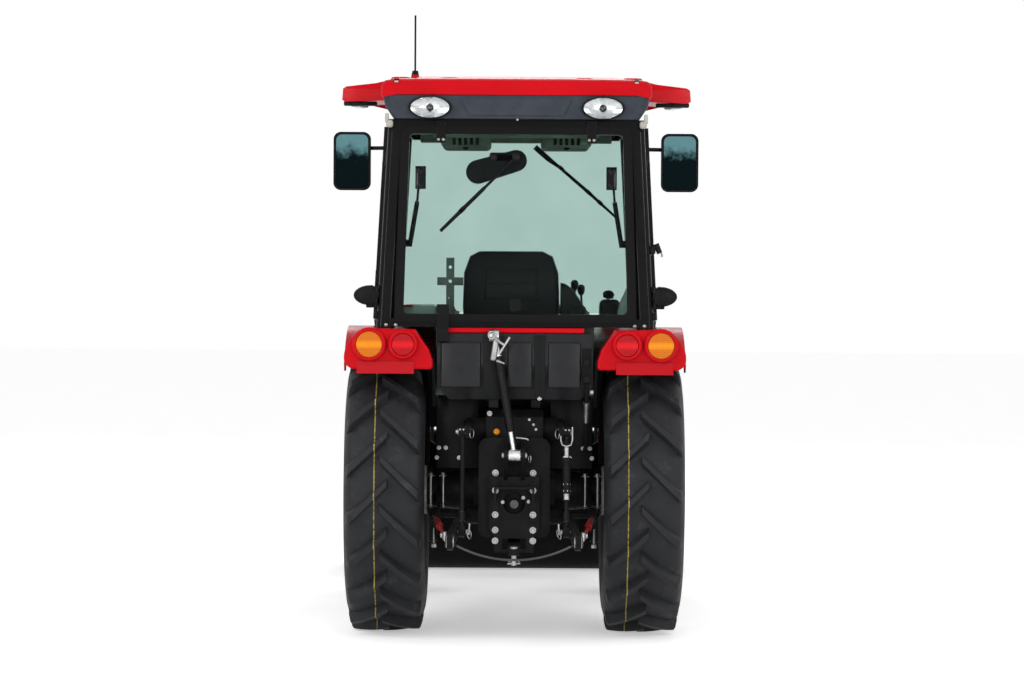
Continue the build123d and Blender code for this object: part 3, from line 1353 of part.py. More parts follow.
# ---------------------------------------------------------------- three-point hitch
lift_foot_y = link_pivot_y + lift_rod_share * (link_ball_y - link_pivot_y)
lift_foot_z = link_pivot_z + lift_rod_share * (link_ball_z - link_pivot_z)
link_run = link_pivot_y - link_ball_y
link_toe = Vector(link_run, link_ball_x - link_pivot_x, 0).normalized()  # each ball's bore is square to its link
ball_bore_radius = 11.2
stay_share = 0.76  # where the stabiliser joins the link
with BuildPart() as lower_links:
    # forged link: an outline seen from the side, cut to its slant seen from above
    tapered_plate(
        (link_pivot_x - 40, link_ball_x + 60),
        (
            (link_pivot_y, link_pivot_z, 34), (link_pivot_y - 0.4 * link_run, (link_pivot_z + link_ball_z) / 2, 27),
            (link_ball_y, link_ball_z, link_ball_radius),
        ),
    )  # fmt: skip
    half_link = link_thickness / 2
    profile(
        Plane.XY.offset(link_ball_z - 60),
        [
            (link_pivot_x - half_link, link_pivot_y + 40), (link_pivot_x + half_link, link_pivot_y + 40),
            (link_ball_x + half_link, link_ball_y - 40), (link_ball_x - half_link, link_ball_y - 40),
        ],
        180, mode=Mode.INTERSECT,
    )  # fmt: skip
    # ball in the rear eye
    ball = Vector(link_ball_x, link_ball_y, link_ball_z)
    bar_between(ball - link_toe * 15, ball + link_toe * 15, 24)
    bar_between(ball - link_toe * 30, ball + link_toe * 30, ball_bore_radius, mode=Mode.SUBTRACT)
    # lightening holes along the web
    for share in (0.22, 0.36):
        hole_y = link_pivot_y - share * link_run
        hole_z = link_pivot_z + share * (link_ball_z - link_pivot_z)
        bar_x((link_pivot_x - 20, link_ball_x + 20), hole_y, hole_z, 13, mode=Mode.SUBTRACT)
    # stabiliser with its turnbuckle, from the cross pin to the link
    stay_y = link_pivot_y - stay_share * link_run
    stay_z = link_pivot_z + stay_share * (link_ball_z - link_pivot_z)
    stay_front = Vector(343, link_pivot_y, link_pivot_z)
    stay_rear = Vector(286, stay_y, stay_z)
    along = stay_rear - stay_front
    bar_x((334, 352), link_pivot_y, link_pivot_z, 26)
    bar_between(stay_front + along * 0.03, stay_rear, 10)
    bar_between(stay_front + along * 0.3, stay_front + along * 0.62, 16)
    bar_x((link_ball_x - 20, 296), stay_y, stay_z, 12)
    pin_bore = link_pin_radius + running_clearance
    bar_x((link_pivot_x - 30, 360), link_pivot_y, link_pivot_z, pin_bore, mode=Mode.SUBTRACT)
    mirror(about=Plane.YZ)
    # thin curved rod that keeps the two ends apart
    spread = (link_ball_x - 14, link_ball_y + 42, link_ball_z - 12)
    with BuildLine() as spreader:
        ThreePointArc((-spread[0], *spread[1:]), (0, spread[1] + 10, spread[2] - 66), spread)
    with BuildSketch(Plane(origin=spreader.line @ 0, z_dir=spreader.line % 0)) as wire:
        Circle(5)
    sweep(wire.sketch, path=spreader.line)
save(lower_links.part, "lower_links")

with BuildPart() as lift_arms:
    arm = (lift_arm_x, lift_arm_x + lift_arm_thickness)
    arm_mid_y = (rockshaft_y + lift_arm_tip_y) / 2
    tapered_plate(arm, ((rockshaft_y, rockshaft_z, 46), (arm_mid_y, rockshaft_z - 2, 34)))
    tapered_plate(arm, ((arm_mid_y, rockshaft_z - 2, 34), (lift_arm_tip_y, lift_arm_tip_z, 26)))
    # clamp boss on the rockshaft
    bar_x((lift_arm_x, lift_arm_x + lift_arm_thickness + 12), rockshaft_y, rockshaft_z, 38)
    bar_x((lift_arm_x, lift_arm_x + lift_arm_thickness + 30), lift_arm_tip_y, lift_arm_tip_z, lift_pin_radius)
    mirror(about=Plane.YZ)
    bar_x((-lift_arm_x - 10, lift_arm_x + 10), rockshaft_y, rockshaft_z, rockshaft_radius)
save(lift_arms.part, "lift_arms")

with BuildPart() as lift_rods:
    eye_x = (lift_arm_x + lift_arm_thickness + side_clearance, lift_arm_x + lift_arm_thickness + 24)
    rod_x = sum(eye_x) / 2
    rod_head = Vector(rod_x, lift_arm_tip_y, lift_arm_tip_z)
    rod_foot = Vector(rod_x, lift_foot_y, lift_foot_z)
    reach = rod_foot - rod_head
    bar_x(eye_x, lift_arm_tip_y, lift_arm_tip_z, 24)
    bar_between(rod_head, rod_foot, 9.5)
    # fork collar at the bottom
    bar_between(rod_head + reach * 0.8, rod_head + reach * 0.9, 15)
    bar_x(eye_x, lift_foot_y, lift_foot_z, 24)
    pin_bore = lift_pin_radius + running_clearance
    bar_x((eye_x[0] - 5, eye_x[1] + 5), lift_arm_tip_y, lift_arm_tip_z, pin_bore, mode=Mode.SUBTRACT)
    mirror(about=Plane.YZ)
    # levelling screw of the right-hand rod
    bar_between(rod_head + reach * 0.3, rod_head + reach * 0.62, 17)
    bar_between(rod_head + reach * 0.26, rod_head + reach * 0.3, 22)
save(lift_rods.part, "lift_rods")

with BuildPart() as top_link:
    foot = Vector(0, top_link_y, top_link_z)
    head = Vector(-top_link_lean, top_link_y, top_link_z + top_link_length)
    reach = head - foot
    bar_x((-24, 24), top_link_y, top_link_z, 26)
    bar_between(foot, head, 11)
    # turnbuckle tube between the screwed ends
    bar_between(foot + reach * 0.2, foot + reach * 0.8, 19)
    # ball eye at the top
    eye = head - Vector(0, 0, 20)
    bar_x((head.X - 20, head.X + 20), top_link_y, eye.Z, 26)
    bar_x((head.X - 25, head.X + 25), top_link_y, eye.Z, 9.7, mode=Mode.SUBTRACT)
    bar_x((-30, 30), top_link_y, top_link_z, top_pin_radius + running_clearance, mode=Mode.SUBTRACT)
save(top_link.part, "top_link")

# ---------------------------------------------------------------- loader
boom_inner = boom_x - boom_width / 2
boom_outer = boom_x + boom_width / 2
upright_front_y = boom_pivot_y + 70
lift_share = 0.645  # along the boom's rear half
lift_foot = (upright_front_y + 28, rail_top)
lift_head = (
    boom_pivot_y + lift_share * (boom_knee_y - boom_pivot_y),
    boom_pivot_z + lift_share * (boom_knee_z - boom_pivot_z) - 113,
)
tilt_foot = (boom_knee_y + 102, boom_knee_z + 125)
tilt_head = (bucket_pin_y - 25, bucket_pin_z + 250)
cross_tube_share = 0.405  # along the boom's front half


def fork(ends, clearance=side_clearance, pin=None, sides=(1,)):
    """Plates either side of a boom's width, with a (y, z, radius) pin across if one is given."""
    for side in sides:
        for face in (boom_inner - clearance - fork_plate, boom_outer + clearance):
            tapered_plate(sided(side, face, face + fork_plate), ends)
        if pin:
            reach = boom_width / 2 + clearance + 2
            bar_x(sided(side, boom_x - reach, boom_x + reach), *pin)


with BuildPart() as loader_frame:
    for side in both:
        # tapered upright on a bracket that reaches in to the frame rail
        near, far = sided(side, boom_inner - 14, boom_outer + 14)
        profile(
            side_plane(near),
            [
                (boom_pivot_y - 96, rail_bottom + 40), (upright_front_y, rail_bottom + 40), (upright_front_y, rail_top + 90),
                (boom_pivot_y + 52, boom_pivot_z - 140), (boom_pivot_y - 52, boom_pivot_z - 140),
                (boom_pivot_y - 96, rail_top + 140),
            ],
            far - near,
        )  # fmt: skip
        bracket = (boom_pivot_y - 60, boom_pivot_y + 60)
        block(sided(side, rail_outer + seat_gap, boom_inner), bracket, (rail_top - 70, rail_top))
        profile(
            cross_plane(boom_pivot_y + 10),
            [
                (side * (rail_outer + 4), rail_top - 2), (side * boom_inner, rail_top - 2), (side * boom_inner, rail_top + 130)
            ],
            20,
        )
    fork(
        ((boom_pivot_y - 30, boom_pivot_z - 160, 40), (boom_pivot_y + 30, boom_pivot_z - 160, 40),
         (boom_pivot_y, boom_pivot_z, 48)),
        pin=(boom_pivot_y, boom_pivot_z, loader_pin_radius), sides=both,
    )  # fmt: skip
    fork(((upright_front_y - 20, lift_foot[1], 34), (*lift_foot, 26)), 0, (*lift_foot, cylinder_pin_radius), both)
save(loader_frame.part, "loader_frame")

with BuildPart() as boom:
    span = (boom_inner, boom_outer)
    tapered_plate(span, ((boom_pivot_y, boom_pivot_z, 46), (boom_knee_y, boom_knee_z, 75)))
    tapered_plate(span, ((boom_knee_y, boom_knee_z, 75), (bucket_pin_y, bucket_pin_z, 42)))
    for pin_y, pin_z in ((boom_pivot_y, boom_pivot_z), (bucket_pin_y, bucket_pin_z)):
        bore = loader_pin_radius + running_clearance
        bar_x((boom_inner - 5, boom_outer + 5), pin_y, pin_z, bore, mode=Mode.SUBTRACT)
    # ears for the two cylinders
    head_y, head_z = lift_head
    fork(((*lift_head, 26), (head_y - 40, head_z + 90, 40), (head_y + 40, head_z + 70, 40)), 0)
    fork(((*tilt_foot, 26), (boom_knee_y, boom_knee_z, 60)), 0, (*tilt_foot, cylinder_pin_radius))
    mirror(about=Plane.YZ)
    tube_y = boom_knee_y + cross_tube_share * (bucket_pin_y - boom_knee_y)
    tube_z = boom_knee_z + cross_tube_share * (bucket_pin_z - boom_knee_z)
    bar_x((-boom_x, boom_x), tube_y, tube_z, 45)
save(boom.part, "boom")

bucket_back_y = bucket_pin_y + bucket_back_offset
lip_y = rear_axle_y + front_reach
heel = 150  # radius between the back and the floor


def bucket_edge(wall):
    """The bucket's back, heel and floor seen from the side, from its top to its lip, a wall's thickness in."""
    back, turn = bucket_back_y + wall, heel - wall
    centre = (bucket_back_y + heel, heel)
    diagonal = turn * cos(radians(45))
    top = (bucket_back_y + 40, bucket_top - wall)
    Polyline(top, (back, bucket_top - 46 - wall / 2), (back, heel))
    ThreePointArc((back, heel), (centre[0] - diagonal, centre[1] - diagonal), (centre[0], wall))
    Line((centre[0], wall), (lip_y, wall))
    return top, (lip_y, wall)


with BuildPart() as bucket:
    with BuildSketch(side_plane(-bucket_width / 2)) as shell:
        with BuildLine():
            outer_top, outer_lip = bucket_edge(0)
            inner_top, inner_lip = bucket_edge(bucket_wall)
            Line(outer_top, inner_top)
            Line(outer_lip, inner_lip)
        make_face()
    extrude(shell.sketch, amount=bucket_width)
    # thick cutting edge
    block((-bucket_width / 2, bucket_width / 2), (lip_y - 110, lip_y), (0, 16))
    for side in both:
        cheek = sided(side, bucket_width / 2 - 10, bucket_width / 2)
        with BuildSketch(side_plane(cheek[0])) as cheek_face:
            with BuildLine():
                top, lip = bucket_edge(0)
                Polyline(top, (bucket_back_y + 110, bucket_top - 6), (lip_y - 70, 60), (lip_y, 30), lip)
            make_face()
        extrude(cheek_face.sketch, amount=cheek[1] - cheek[0])
    back_face = bucket_back_y + 2
    fork(
        ((bucket_pin_y, bucket_pin_z, 36), (back_face, bucket_pin_z - 24, 8), (back_face, tilt_head[1], 8),
         (*tilt_head, 28)),
        pin=(bucket_pin_y, bucket_pin_z, loader_pin_radius), sides=both,
    )  # fmt: skip
save(bucket.part, "bucket")


def cylinder_pair(foot, head, barrel_radius, rod_radius, barrel_share, name):
    """Barrels and rods of the two cylinders in the booms' planes, from foot to head (y, z)."""
    length = sqrt((head[0] - foot[0]) ** 2 + (head[1] - foot[1]) ** 2)
    along = ((head[0] - foot[0]) / length, (head[1] - foot[1]) / length)

    def station(distance):
        return (boom_x, foot[0] + along[0] * distance, foot[1] + along[1] * distance)

    eye = (boom_inner + side_clearance, boom_outer - side_clearance)
    barrel_end = barrel_share * length
    with BuildPart() as barrels:
        bar_x(eye, *foot, 26)
        bar_between(station(0), station(barrel_end), barrel_radius)
        bar_between(station(60), station(barrel_end + 5), rod_radius + running_clearance, mode=Mode.SUBTRACT)
        bar_x((eye[0] - 5, eye[1] + 5), *foot, cylinder_pin_radius + running_clearance, mode=Mode.SUBTRACT)
        mirror(about=Plane.YZ)
    save(barrels.part, f"{name}_barrels")
    with BuildPart() as rods:
        bar_x(eye, *head, 24)
        bar_between(station(barrel_end * 0.7), station(length - 10), rod_radius)
        bar_x((eye[0] - 5, eye[1] + 5), *head, cylinder_pin_radius, mode=Mode.SUBTRACT)
        mirror(about=Plane.YZ)
    save(rods.part, f"{name}_rods")


cylinder_pair(lift_foot, lift_head, 28, 16, 0.72, "boom_cylinder")
cylinder_pair(tilt_foot, tilt_head, 28, 16, 0.66, "bucket_cylinder")
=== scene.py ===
"""Finish of the compact cab tractor: paint, rubber, glass, cushions, lamps and small fittings on the fixed frame."""

import math

import bmesh
import bpy
from mathutils import Matrix, Vector


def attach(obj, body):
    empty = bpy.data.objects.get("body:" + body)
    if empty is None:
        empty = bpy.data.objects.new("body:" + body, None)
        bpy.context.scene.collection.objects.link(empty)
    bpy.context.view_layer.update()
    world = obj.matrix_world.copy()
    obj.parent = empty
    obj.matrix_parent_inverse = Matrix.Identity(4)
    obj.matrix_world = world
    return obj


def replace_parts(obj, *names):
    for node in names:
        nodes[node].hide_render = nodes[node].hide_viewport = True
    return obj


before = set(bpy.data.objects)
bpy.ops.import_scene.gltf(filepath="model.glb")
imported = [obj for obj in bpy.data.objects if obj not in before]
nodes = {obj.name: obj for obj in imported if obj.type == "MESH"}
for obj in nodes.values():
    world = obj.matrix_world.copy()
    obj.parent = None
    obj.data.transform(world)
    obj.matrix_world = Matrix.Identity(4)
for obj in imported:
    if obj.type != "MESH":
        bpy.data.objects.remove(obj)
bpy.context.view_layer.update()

MM = 0.001
REAR_AXLE_Y = -1.21
FRONT_AXLE_Y = REAR_AXLE_Y + 1.76
REAR_AXLE_Z = 0.605
FRONT_AXLE_Z = 0.427
REAR_HALF_TRACK = 0.544
FRONT_HALF_TRACK = 0.595
BOTH_SIDES = (-1, 1)
HANDS = (("left", -1), ("right", 1))


# ------------------------------------------------------------------ shader building
def add_node(tree, kind, links=None, **settings):
    """A node with its settings; links maps input names or numbers to sockets or plain values."""
    made = tree.nodes.new(kind)
    for setting, value in settings.items():
        setattr(made, setting, value)
    for place, value in (links or {}).items():
        socket = made.inputs[place]
        if isinstance(value, bpy.types.NodeSocket):
            tree.links.new(value, socket)
        else:
            socket.default_value = value
    return made


def math_node(tree, operation, first, second=0.0, clamp=False):
    made = add_node(tree, "ShaderNodeMath", {0: first, 1: second}, operation=operation, use_clamp=clamp)
    return made.outputs[0]


def ramp(tree, value, low, high, start=0.0, end=1.0, smooth=True):
    """Value mapped from low..high to start..end and clamped."""
    links = {"Value": value, "From Min": low, "From Max": high, "To Min": start, "To Max": end}
    kind = "SMOOTHSTEP" if smooth else "LINEAR"
    return add_node(tree, "ShaderNodeMapRange", links, interpolation_type=kind).outputs[0]


def mix_colour(tree, share, first, second, blend="MIX"):
    made = tree.nodes.new("ShaderNodeMix")
    made.data_type = "RGBA"
    made.blend_type = blend
    for name, value in (("Factor_Float", share), ("A_Color", first), ("B_Color", second)):
        socket = next(s for s in made.inputs if s.identifier == name)
        if isinstance(value, bpy.types.NodeSocket):
            tree.links.new(value, socket)
        else:
            socket.default_value = value if name == "Factor_Float" else (*value[:3], 1.0)
    return next(s for s in made.outputs if s.identifier == "Result_Color")


def new_group(name, inputs, outputs):
    """An effect shared by several finishes, with its named inputs and outputs."""
    tree = bpy.data.node_groups.new(name, "ShaderNodeTree")
    for label, kind, value in inputs:
        socket = tree.interface.new_socket(label, in_out="INPUT", socket_type=f"NodeSocket{kind}")
        socket.default_value = value
    for label, kind in outputs:
        tree.interface.new_socket(label, in_out="OUTPUT", socket_type=f"NodeSocket{kind}")
    return tree, tree.nodes.new("NodeGroupInput").outputs, tree.nodes.new("NodeGroupOutput").inputs


def tinted(tree, colour, factor):
    """A colour made lighter or darker by a factor that changes over the surface."""
    return add_node(tree, "ShaderNodeVectorMath", {0: colour, 1: factor}, operation="MULTIPLY").outputs["Vector"]


def feed(tree, shader, label, value):
    tree.links.new(value, shader.inputs[label])


def object_place(tree):
    return add_node(tree, "ShaderNodeTexCoord").outputs["Object"]


def noise(tree, place, scale, detail=3.0, roughness=0.55):
    links = {"Vector": place, "Scale": scale, "Detail": detail, "Roughness": roughness}
    return add_node(tree, "ShaderNodeTexNoise", links).outputs["Fac"]


def build_dust_group():
    """Fine dust that settles on upward faces and thickens towards the ground."""
    tree, given, out = new_group(
        "settled_dust",
        [("Amount", "Float", 0.3), ("Patch Scale", "Float", 6.0), ("Ground Reach", "Float", 0.9)],
        [("Mask", "Float")],
    )
    place = object_place(tree)
    split = add_node(tree, "ShaderNodeSeparateXYZ", {0: place})
    facing = add_node(tree, "ShaderNodeSeparateXYZ", {0: add_node(tree, "ShaderNodeNewGeometry").outputs["Normal"]})
    upward = ramp(tree, facing.outputs["Z"], 0.1, 0.95, 0.25, 1.0)
    near_ground = ramp(tree, split.outputs["Z"], 0.0, given["Ground Reach"], 1.0, 0.18, smooth=False)
    patches = ramp(tree, noise(tree, place, given["Patch Scale"], 6.0, 0.65), 0.38, 0.72)
    specks = ramp(tree, noise(tree, place, 210.0, 2.0), 0.45, 0.7, 0.55, 1.0)
    film = math_node(tree, "MULTIPLY", math_node(tree, "MULTIPLY", upward, near_ground), given["Amount"])
    spread = math_node(tree, "MULTIPLY", math_node(tree, "ADD", patches, 0.35), specks)
    tree.links.new(math_node(tree, "MULTIPLY", film, spread, clamp=True), out["Mask"])
    return tree


def build_edge_group():
    """Narrow bands along sharp edges, broken up so that they read as rubbed paint."""
    tree, given, out = new_group(
        "rubbed_edges", [("Width", "Float", 0.003), ("Amount", "Float", 0.5)], [("Mask", "Float")]
    )
    rounded = add_node(tree, "ShaderNodeBevel", {"Radius": given["Width"]}, samples=4)
    true_normal = add_node(tree, "ShaderNodeNewGeometry").outputs["True Normal"]
    likeness = add_node(
        tree, "ShaderNodeVectorMath", {0: rounded.outputs[0], 1: true_normal}, operation="DOT_PRODUCT"
    ).outputs["Value"]
    bend = ramp(tree, likeness, 0.995, 0.86, 0.0, 1.0)
    breakup = ramp(tree, noise(tree, object_place(tree), 55.0, 5.0, 0.7), 0.48, 0.62)
    tree.links.new(
        math_node(tree, "MULTIPLY", math_node(tree, "MULTIPLY", bend, breakup), given["Amount"], clamp=True),
        out["Mask"],
    )
    return tree


def build_grain_group():
    """Pebbled skin of moulded plastic, cast iron or rubber."""
    tree, given, out = new_group(
        "pebbled_grain", [("Scale", "Float", 700.0), ("Coarse Scale", "Float", 40.0)],
        [("Height", "Float"), ("Tone", "Float")],
    )  # fmt: skip
    place = object_place(tree)
    fine = noise(tree, place, given["Scale"], 2.0)
    coarse = noise(tree, place, given["Coarse Scale"], 5.0, 0.6)
    height = math_node(tree, "ADD", math_node(tree, "MULTIPLY", fine, 0.6), math_node(tree, "MULTIPLY", coarse, 0.4))
    tree.links.new(height, out["Height"])
    tree.links.new(ramp(tree, coarse, 0.3, 0.7, 0.86, 1.12), out["Tone"])
    return tree


def build_weave_group():
    """Over-and-under threads of seat cloth."""
    outputs = [("Height", "Float"), ("Tone", "Float")]
    tree, given, out = new_group("seat_weave", [("Threads", "Float", 900.0)], outputs)
    place = object_place(tree)
    waves = []
    for axis in ("X", "Z"):
        made = add_node(
            tree, "ShaderNodeTexWave", {"Vector": place, "Scale": given["Threads"], "Distortion": 0.6, "Detail": 1.0},
            bands_direction=axis,
        )  # fmt: skip
        waves.append(made.outputs["Fac"])
    height = math_node(tree, "MULTIPLY", waves[0], waves[1])
    tree.links.new(height, out["Height"])
    tree.links.new(ramp(tree, noise(tree, place, 24.0, 4.0), 0.3, 0.7, 0.8, 1.15), out["Tone"])
    return tree


def build_band_group():
    """Slab between two distances along a direction, with soft or hard borders."""
    tree, given, out = new_group(
        "band_between",
        [("Direction", "Vector", (0, 0, 1)), ("Low", "Float", 0.0), ("High", "Float", 1.0), ("Soft", "Float", 0.001)],
        [("Mask", "Float")],
    )
    along = add_node(
        tree, "ShaderNodeVectorMath", {0: object_place(tree), 1: given["Direction"]}, operation="DOT_PRODUCT"
    ).outputs["Value"]
    above = math_node(tree, "SUBTRACT", along, given["Low"])
    below = math_node(tree, "SUBTRACT", given["High"], along)
    depth = math_node(tree, "DIVIDE", math_node(tree, "MINIMUM", above, below), given["Soft"])
    tree.links.new(math_node(tree, "ADD", depth, 0.5, clamp=True), out["Mask"])
    return tree


def build_axle_group():
    """Distance from a wheel's axle, for the rings moulded into its sides."""
    tree, given, out = new_group("axle_distance", [("Axle", "Vector", (0, 0, 0))], [("Distance", "Float")])
    away = add_node(tree, "ShaderNodeVectorMath", {0: object_place(tree), 1: given["Axle"]}, operation="SUBTRACT")
    flat = add_node(
        tree, "ShaderNodeVectorMath", {0: away.outputs["Vector"], 1: (0.0, 1.0, 1.0)}, operation="MULTIPLY"
    )
    length = add_node(tree, "ShaderNodeVectorMath", {0: flat.outputs["Vector"]}, operation="LENGTH")
    tree.links.new(length.outputs["Value"], out["Distance"])
    return tree


GROUPS = {
    "dust": build_dust_group(),
    "edges": build_edge_group(),
    "grain": build_grain_group(),
    "weave": build_weave_group(),
    "band": build_band_group(),
    "axle": build_axle_group(),
}


def place_group(tree, name, **values):
    """A shared effect placed in a finish; underscores in the value names stand for spaces."""
    made = tree.nodes.new("ShaderNodeGroup")
    made.node_tree = GROUPS[name]
    for label, value in values.items():
        socket = made.inputs[label.replace("_", " ")]
        if isinstance(value, bpy.types.NodeSocket):
            tree.links.new(value, socket)
        else:
            socket.default_value = value
    return made.outputs


def new_finish(name, **plain):
    """A material with its surface shader and plain socket values."""
    made = bpy.data.materials.new(name)
    made.use_nodes = True
    shader = made.node_tree.nodes["Principled BSDF"]
    for label, value in plain.items():
        shader.inputs[label.replace("_", " ")].default_value = value
    return made, made.node_tree, shader


def bump(tree, shader, height, strength, distance=MM):
    made = add_node(tree, "ShaderNodeBump", {"Height": height, "Strength": strength, "Distance": distance})
    feed(tree, shader, "Normal", made.outputs["Normal"])


DUST_COLOUR = (0.42, 0.39, 0.34)
BARE_STEEL = (0.46, 0.46, 0.47)
BARE_IRON = (0.06, 0.056, 0.055)
TREAD_COLOUR = (0.0145, 0.0152, 0.0172)
SCUFF_COLOUR = (0.07, 0.07, 0.07)
STRIPE_COLOUR = (0.46, 0.36, 0.07)
LINER_COLOUR = (0.1, 0.13, 0.1)
TONE_SPREAD = (0.86, 1.12)  # lowest and highest tone of the pebbled grain


def enamel(name, colour, roughness=0.3, dust=0.05, coat=0.03, rub=0.0, tone=0.06, gloss=0.05):
    """Sprayed paint over steel: slight tone drift, a thin dust film and rubbed edges."""
    made, tree, shader = new_finish(name, Coat_Weight=coat, Coat_Roughness=0.06, Specular_IOR_Level=gloss)
    place = object_place(tree)
    drift = ramp(tree, noise(tree, place, 2.3, 3.0), 0.3, 0.7, 1.0 - tone, 1.0 + tone)
    base = tinted(tree, colour, drift)
    film = place_group(tree, "dust", Amount=dust, Patch_Scale=5.0, Ground_Reach=1.2)["Mask"]
    base = mix_colour(tree, film, base, DUST_COLOUR)
    rough = math_node(tree, "ADD", math_node(tree, "MULTIPLY", film, 0.5), roughness)
    if rub:
        worn = place_group(tree, "edges", Width=0.0025, Amount=rub)["Mask"]
        base = mix_colour(tree, worn, base, BARE_STEEL)
        feed(tree, shader, "Metallic", math_node(tree, "MULTIPLY", worn, 0.7))
    feed(tree, shader, "Base Color", base)
    streaks = ramp(tree, noise(tree, place, 38.0, 4.0), 0.3, 0.8, -0.03, 0.07)
    feed(tree, shader, "Roughness", math_node(tree, "ADD", rough, streaks, clamp=True))
    bump(tree, shader, noise(tree, place, 420.0, 1.0), 0.03, 0.0004)
    return made


def moulded(name, colour, roughness=0.45, grain=900.0, depth=0.16, dust=0.1, coat=0.0, gloss=0.14):
    """Moulded plastic or rubber with a pebbled skin."""
    made, tree, shader = new_finish(name, Coat_Weight=coat, Coat_Roughness=0.1, Specular_IOR_Level=gloss)
    skin = place_group(tree, "grain", Scale=grain, Coarse_Scale=18.0)
    toned = tinted(tree, colour, skin["Tone"])
    film = place_group(tree, "dust", Amount=dust, Patch_Scale=7.0, Ground_Reach=1.4)["Mask"]
    feed(tree, shader, "Base Color", mix_colour(tree, film, toned, DUST_COLOUR))
    matt = math_node(tree, "MULTIPLY", film, 0.4)
    worn = ramp(tree, skin["Tone"], *TONE_SPREAD, roughness - 0.05, roughness + 0.06, smooth=False)
    feed(tree, shader, "Roughness", math_node(tree, "ADD", worn, matt, clamp=True))
    bump(tree, shader, skin["Height"], depth, 0.0006)
    return made


def casting(name, colour, roughness=0.55, dust=0.1):
    """Painted iron casting with its sandy skin and chipped corners."""
    made, tree, shader = new_finish(name, Coat_Weight=0.02, Coat_Roughness=0.35, Specular_IOR_Level=0.08)
    skin = place_group(tree, "grain", Scale=260.0, Coarse_Scale=30.0)
    toned = tinted(tree, colour, skin["Tone"])
    film = place_group(tree, "dust", Amount=dust, Patch_Scale=9.0, Ground_Reach=1.1)["Mask"]
    chips = place_group(tree, "edges", Width=0.004, Amount=0.35)["Mask"]
    base = mix_colour(tree, film, toned, DUST_COLOUR)
    feed(tree, shader, "Base Color", mix_colour(tree, chips, base, BARE_IRON))
    duller = ramp(tree, skin["Tone"], *TONE_SPREAD, roughness - 0.08, roughness + 0.1, smooth=False)
    feed(tree, shader, "Roughness", duller)
    bump(tree, shader, skin["Height"], 0.45, 0.0015)
    return made


def bright_metal(name, colour=(0.62, 0.62, 0.63), roughness=0.28, streak=(60.0, 60.0, 900.0)):
    """Plated or ground steel with fine turning marks."""
    made, tree, shader = new_finish(name, Metallic=1.0)
    stretched = tinted(tree, object_place(tree), streak)
    marks = noise(tree, stretched, 1.0, 3.0)
    tint = ramp(tree, noise(tree, object_place(tree), 30.0, 4.0), 0.3, 0.75, 0.8, 1.08)
    toned = tinted(tree, colour, tint)
    feed(tree, shader, "Base Color", toned)
    feed(tree, shader, "Roughness", ramp(tree, marks, 0.25, 0.75, roughness - 0.1, roughness + 0.14, smooth=False))
    bump(tree, shader, marks, 0.08, 0.0003)
    return made


def two_tone_rod(name, dark, bright, direction, spans):
    """Black painted rod with plated lengths between the given distances along a direction."""
    made, tree, shader = new_finish(name, Coat_Weight=0.05, Specular_IOR_Level=0.1)
    plated = 0.0
    for low, high in spans:
        band = place_group(tree, "band", Direction=direction, Low=low, High=high, Soft=0.001)["Mask"]
        plated = math_node(tree, "ADD", plated, band, clamp=True)
    place = object_place(tree)
    drift = ramp(tree, noise(tree, place, 40.0, 4.0), 0.3, 0.75, 0.82, 1.1)
    base = mix_colour(tree, plated, dark, bright)
    toned = tinted(tree, base, drift)
    feed(tree, shader, "Base Color", toned)
    feed(tree, shader, "Metallic", plated)
    feed(tree, shader, "Roughness", ramp(tree, noise(tree, place, 90.0, 3.0), 0.3, 0.7, 0.26, 0.42))
    bump(tree, shader, noise(tree, place, 300.0, 2.0), 0.1, 0.0004)
    return made


def tyre_rubber(name, axle, rings, stripe=None, dust=0.35):
    """Tread rubber with moulded side rings, paler dusty ground and an optional paint line round the tread."""
    made, tree, shader = new_finish(name, Specular_IOR_Level=0.22)
    skin = place_group(tree, "grain", Scale=520.0, Coarse_Scale=11.0)
    place = object_place(tree)
    rubber = tinted(tree, TREAD_COLOUR, skin["Tone"])
    away = place_group(tree, "axle", Axle=axle)["Distance"]
    scuffs = ramp(tree, noise(tree, place, 14.0, 8.0, 0.72), 0.52, 0.74, 0.0, dust)
    base = mix_colour(tree, scuffs, rubber, SCUFF_COLOUR)
    heights = math_node(tree, "MULTIPLY", skin["Height"], 0.5)
    for radius, width in rings:
        low, high = radius - width / 2, radius + width / 2
        rise = math_node(tree, "MULTIPLY", ramp(tree, away, low - 0.002, low), ramp(tree, away, high + 0.002, high))
        heights = math_node(tree, "ADD", heights, rise)
    if stripe is not None:
        edges = {"Low": stripe - 0.0022, "High": stripe + 0.0022}
        line = place_group(tree, "band", Direction=(1, 0, 0), Soft=0.0012, **edges)["Mask"]
        patchy = ramp(tree, noise(tree, place, 70.0, 5.0, 0.7), 0.34, 0.56, 0.1, 0.85)
        base = mix_colour(tree, math_node(tree, "MULTIPLY", line, patchy), base, STRIPE_COLOUR)
    feed(tree, shader, "Base Color", base)
    feed(tree, shader, "Roughness", ramp(tree, skin["Tone"], *TONE_SPREAD, 0.52, 0.72, smooth=False))
    bump(tree, shader, heights, 0.6, 0.0016)
    return made


def tinted_glass(name, colour, roughness=0.0):
    """Heat-absorbing cab glass that lets the light through to the seat."""
    made, tree, shader = new_finish(
        name, Transmission_Weight=1.0, IOR=1.1, Roughness=roughness, Specular_IOR_Level=0.3
    )
    haze = ramp(tree, noise(tree, object_place(tree), 3.0, 3.0), 0.3, 0.8, 0.94, 1.0)
    toned = tinted(tree, colour, haze)
    feed(tree, shader, "Base Color", toned)
    shadow = add_node(tree, "ShaderNodeLightPath").outputs["Is Shadow Ray"]
    feed(tree, shader, "Alpha", ramp(tree, shadow, 0.0, 1.0, 1.0, 0.22, smooth=False))
    return made


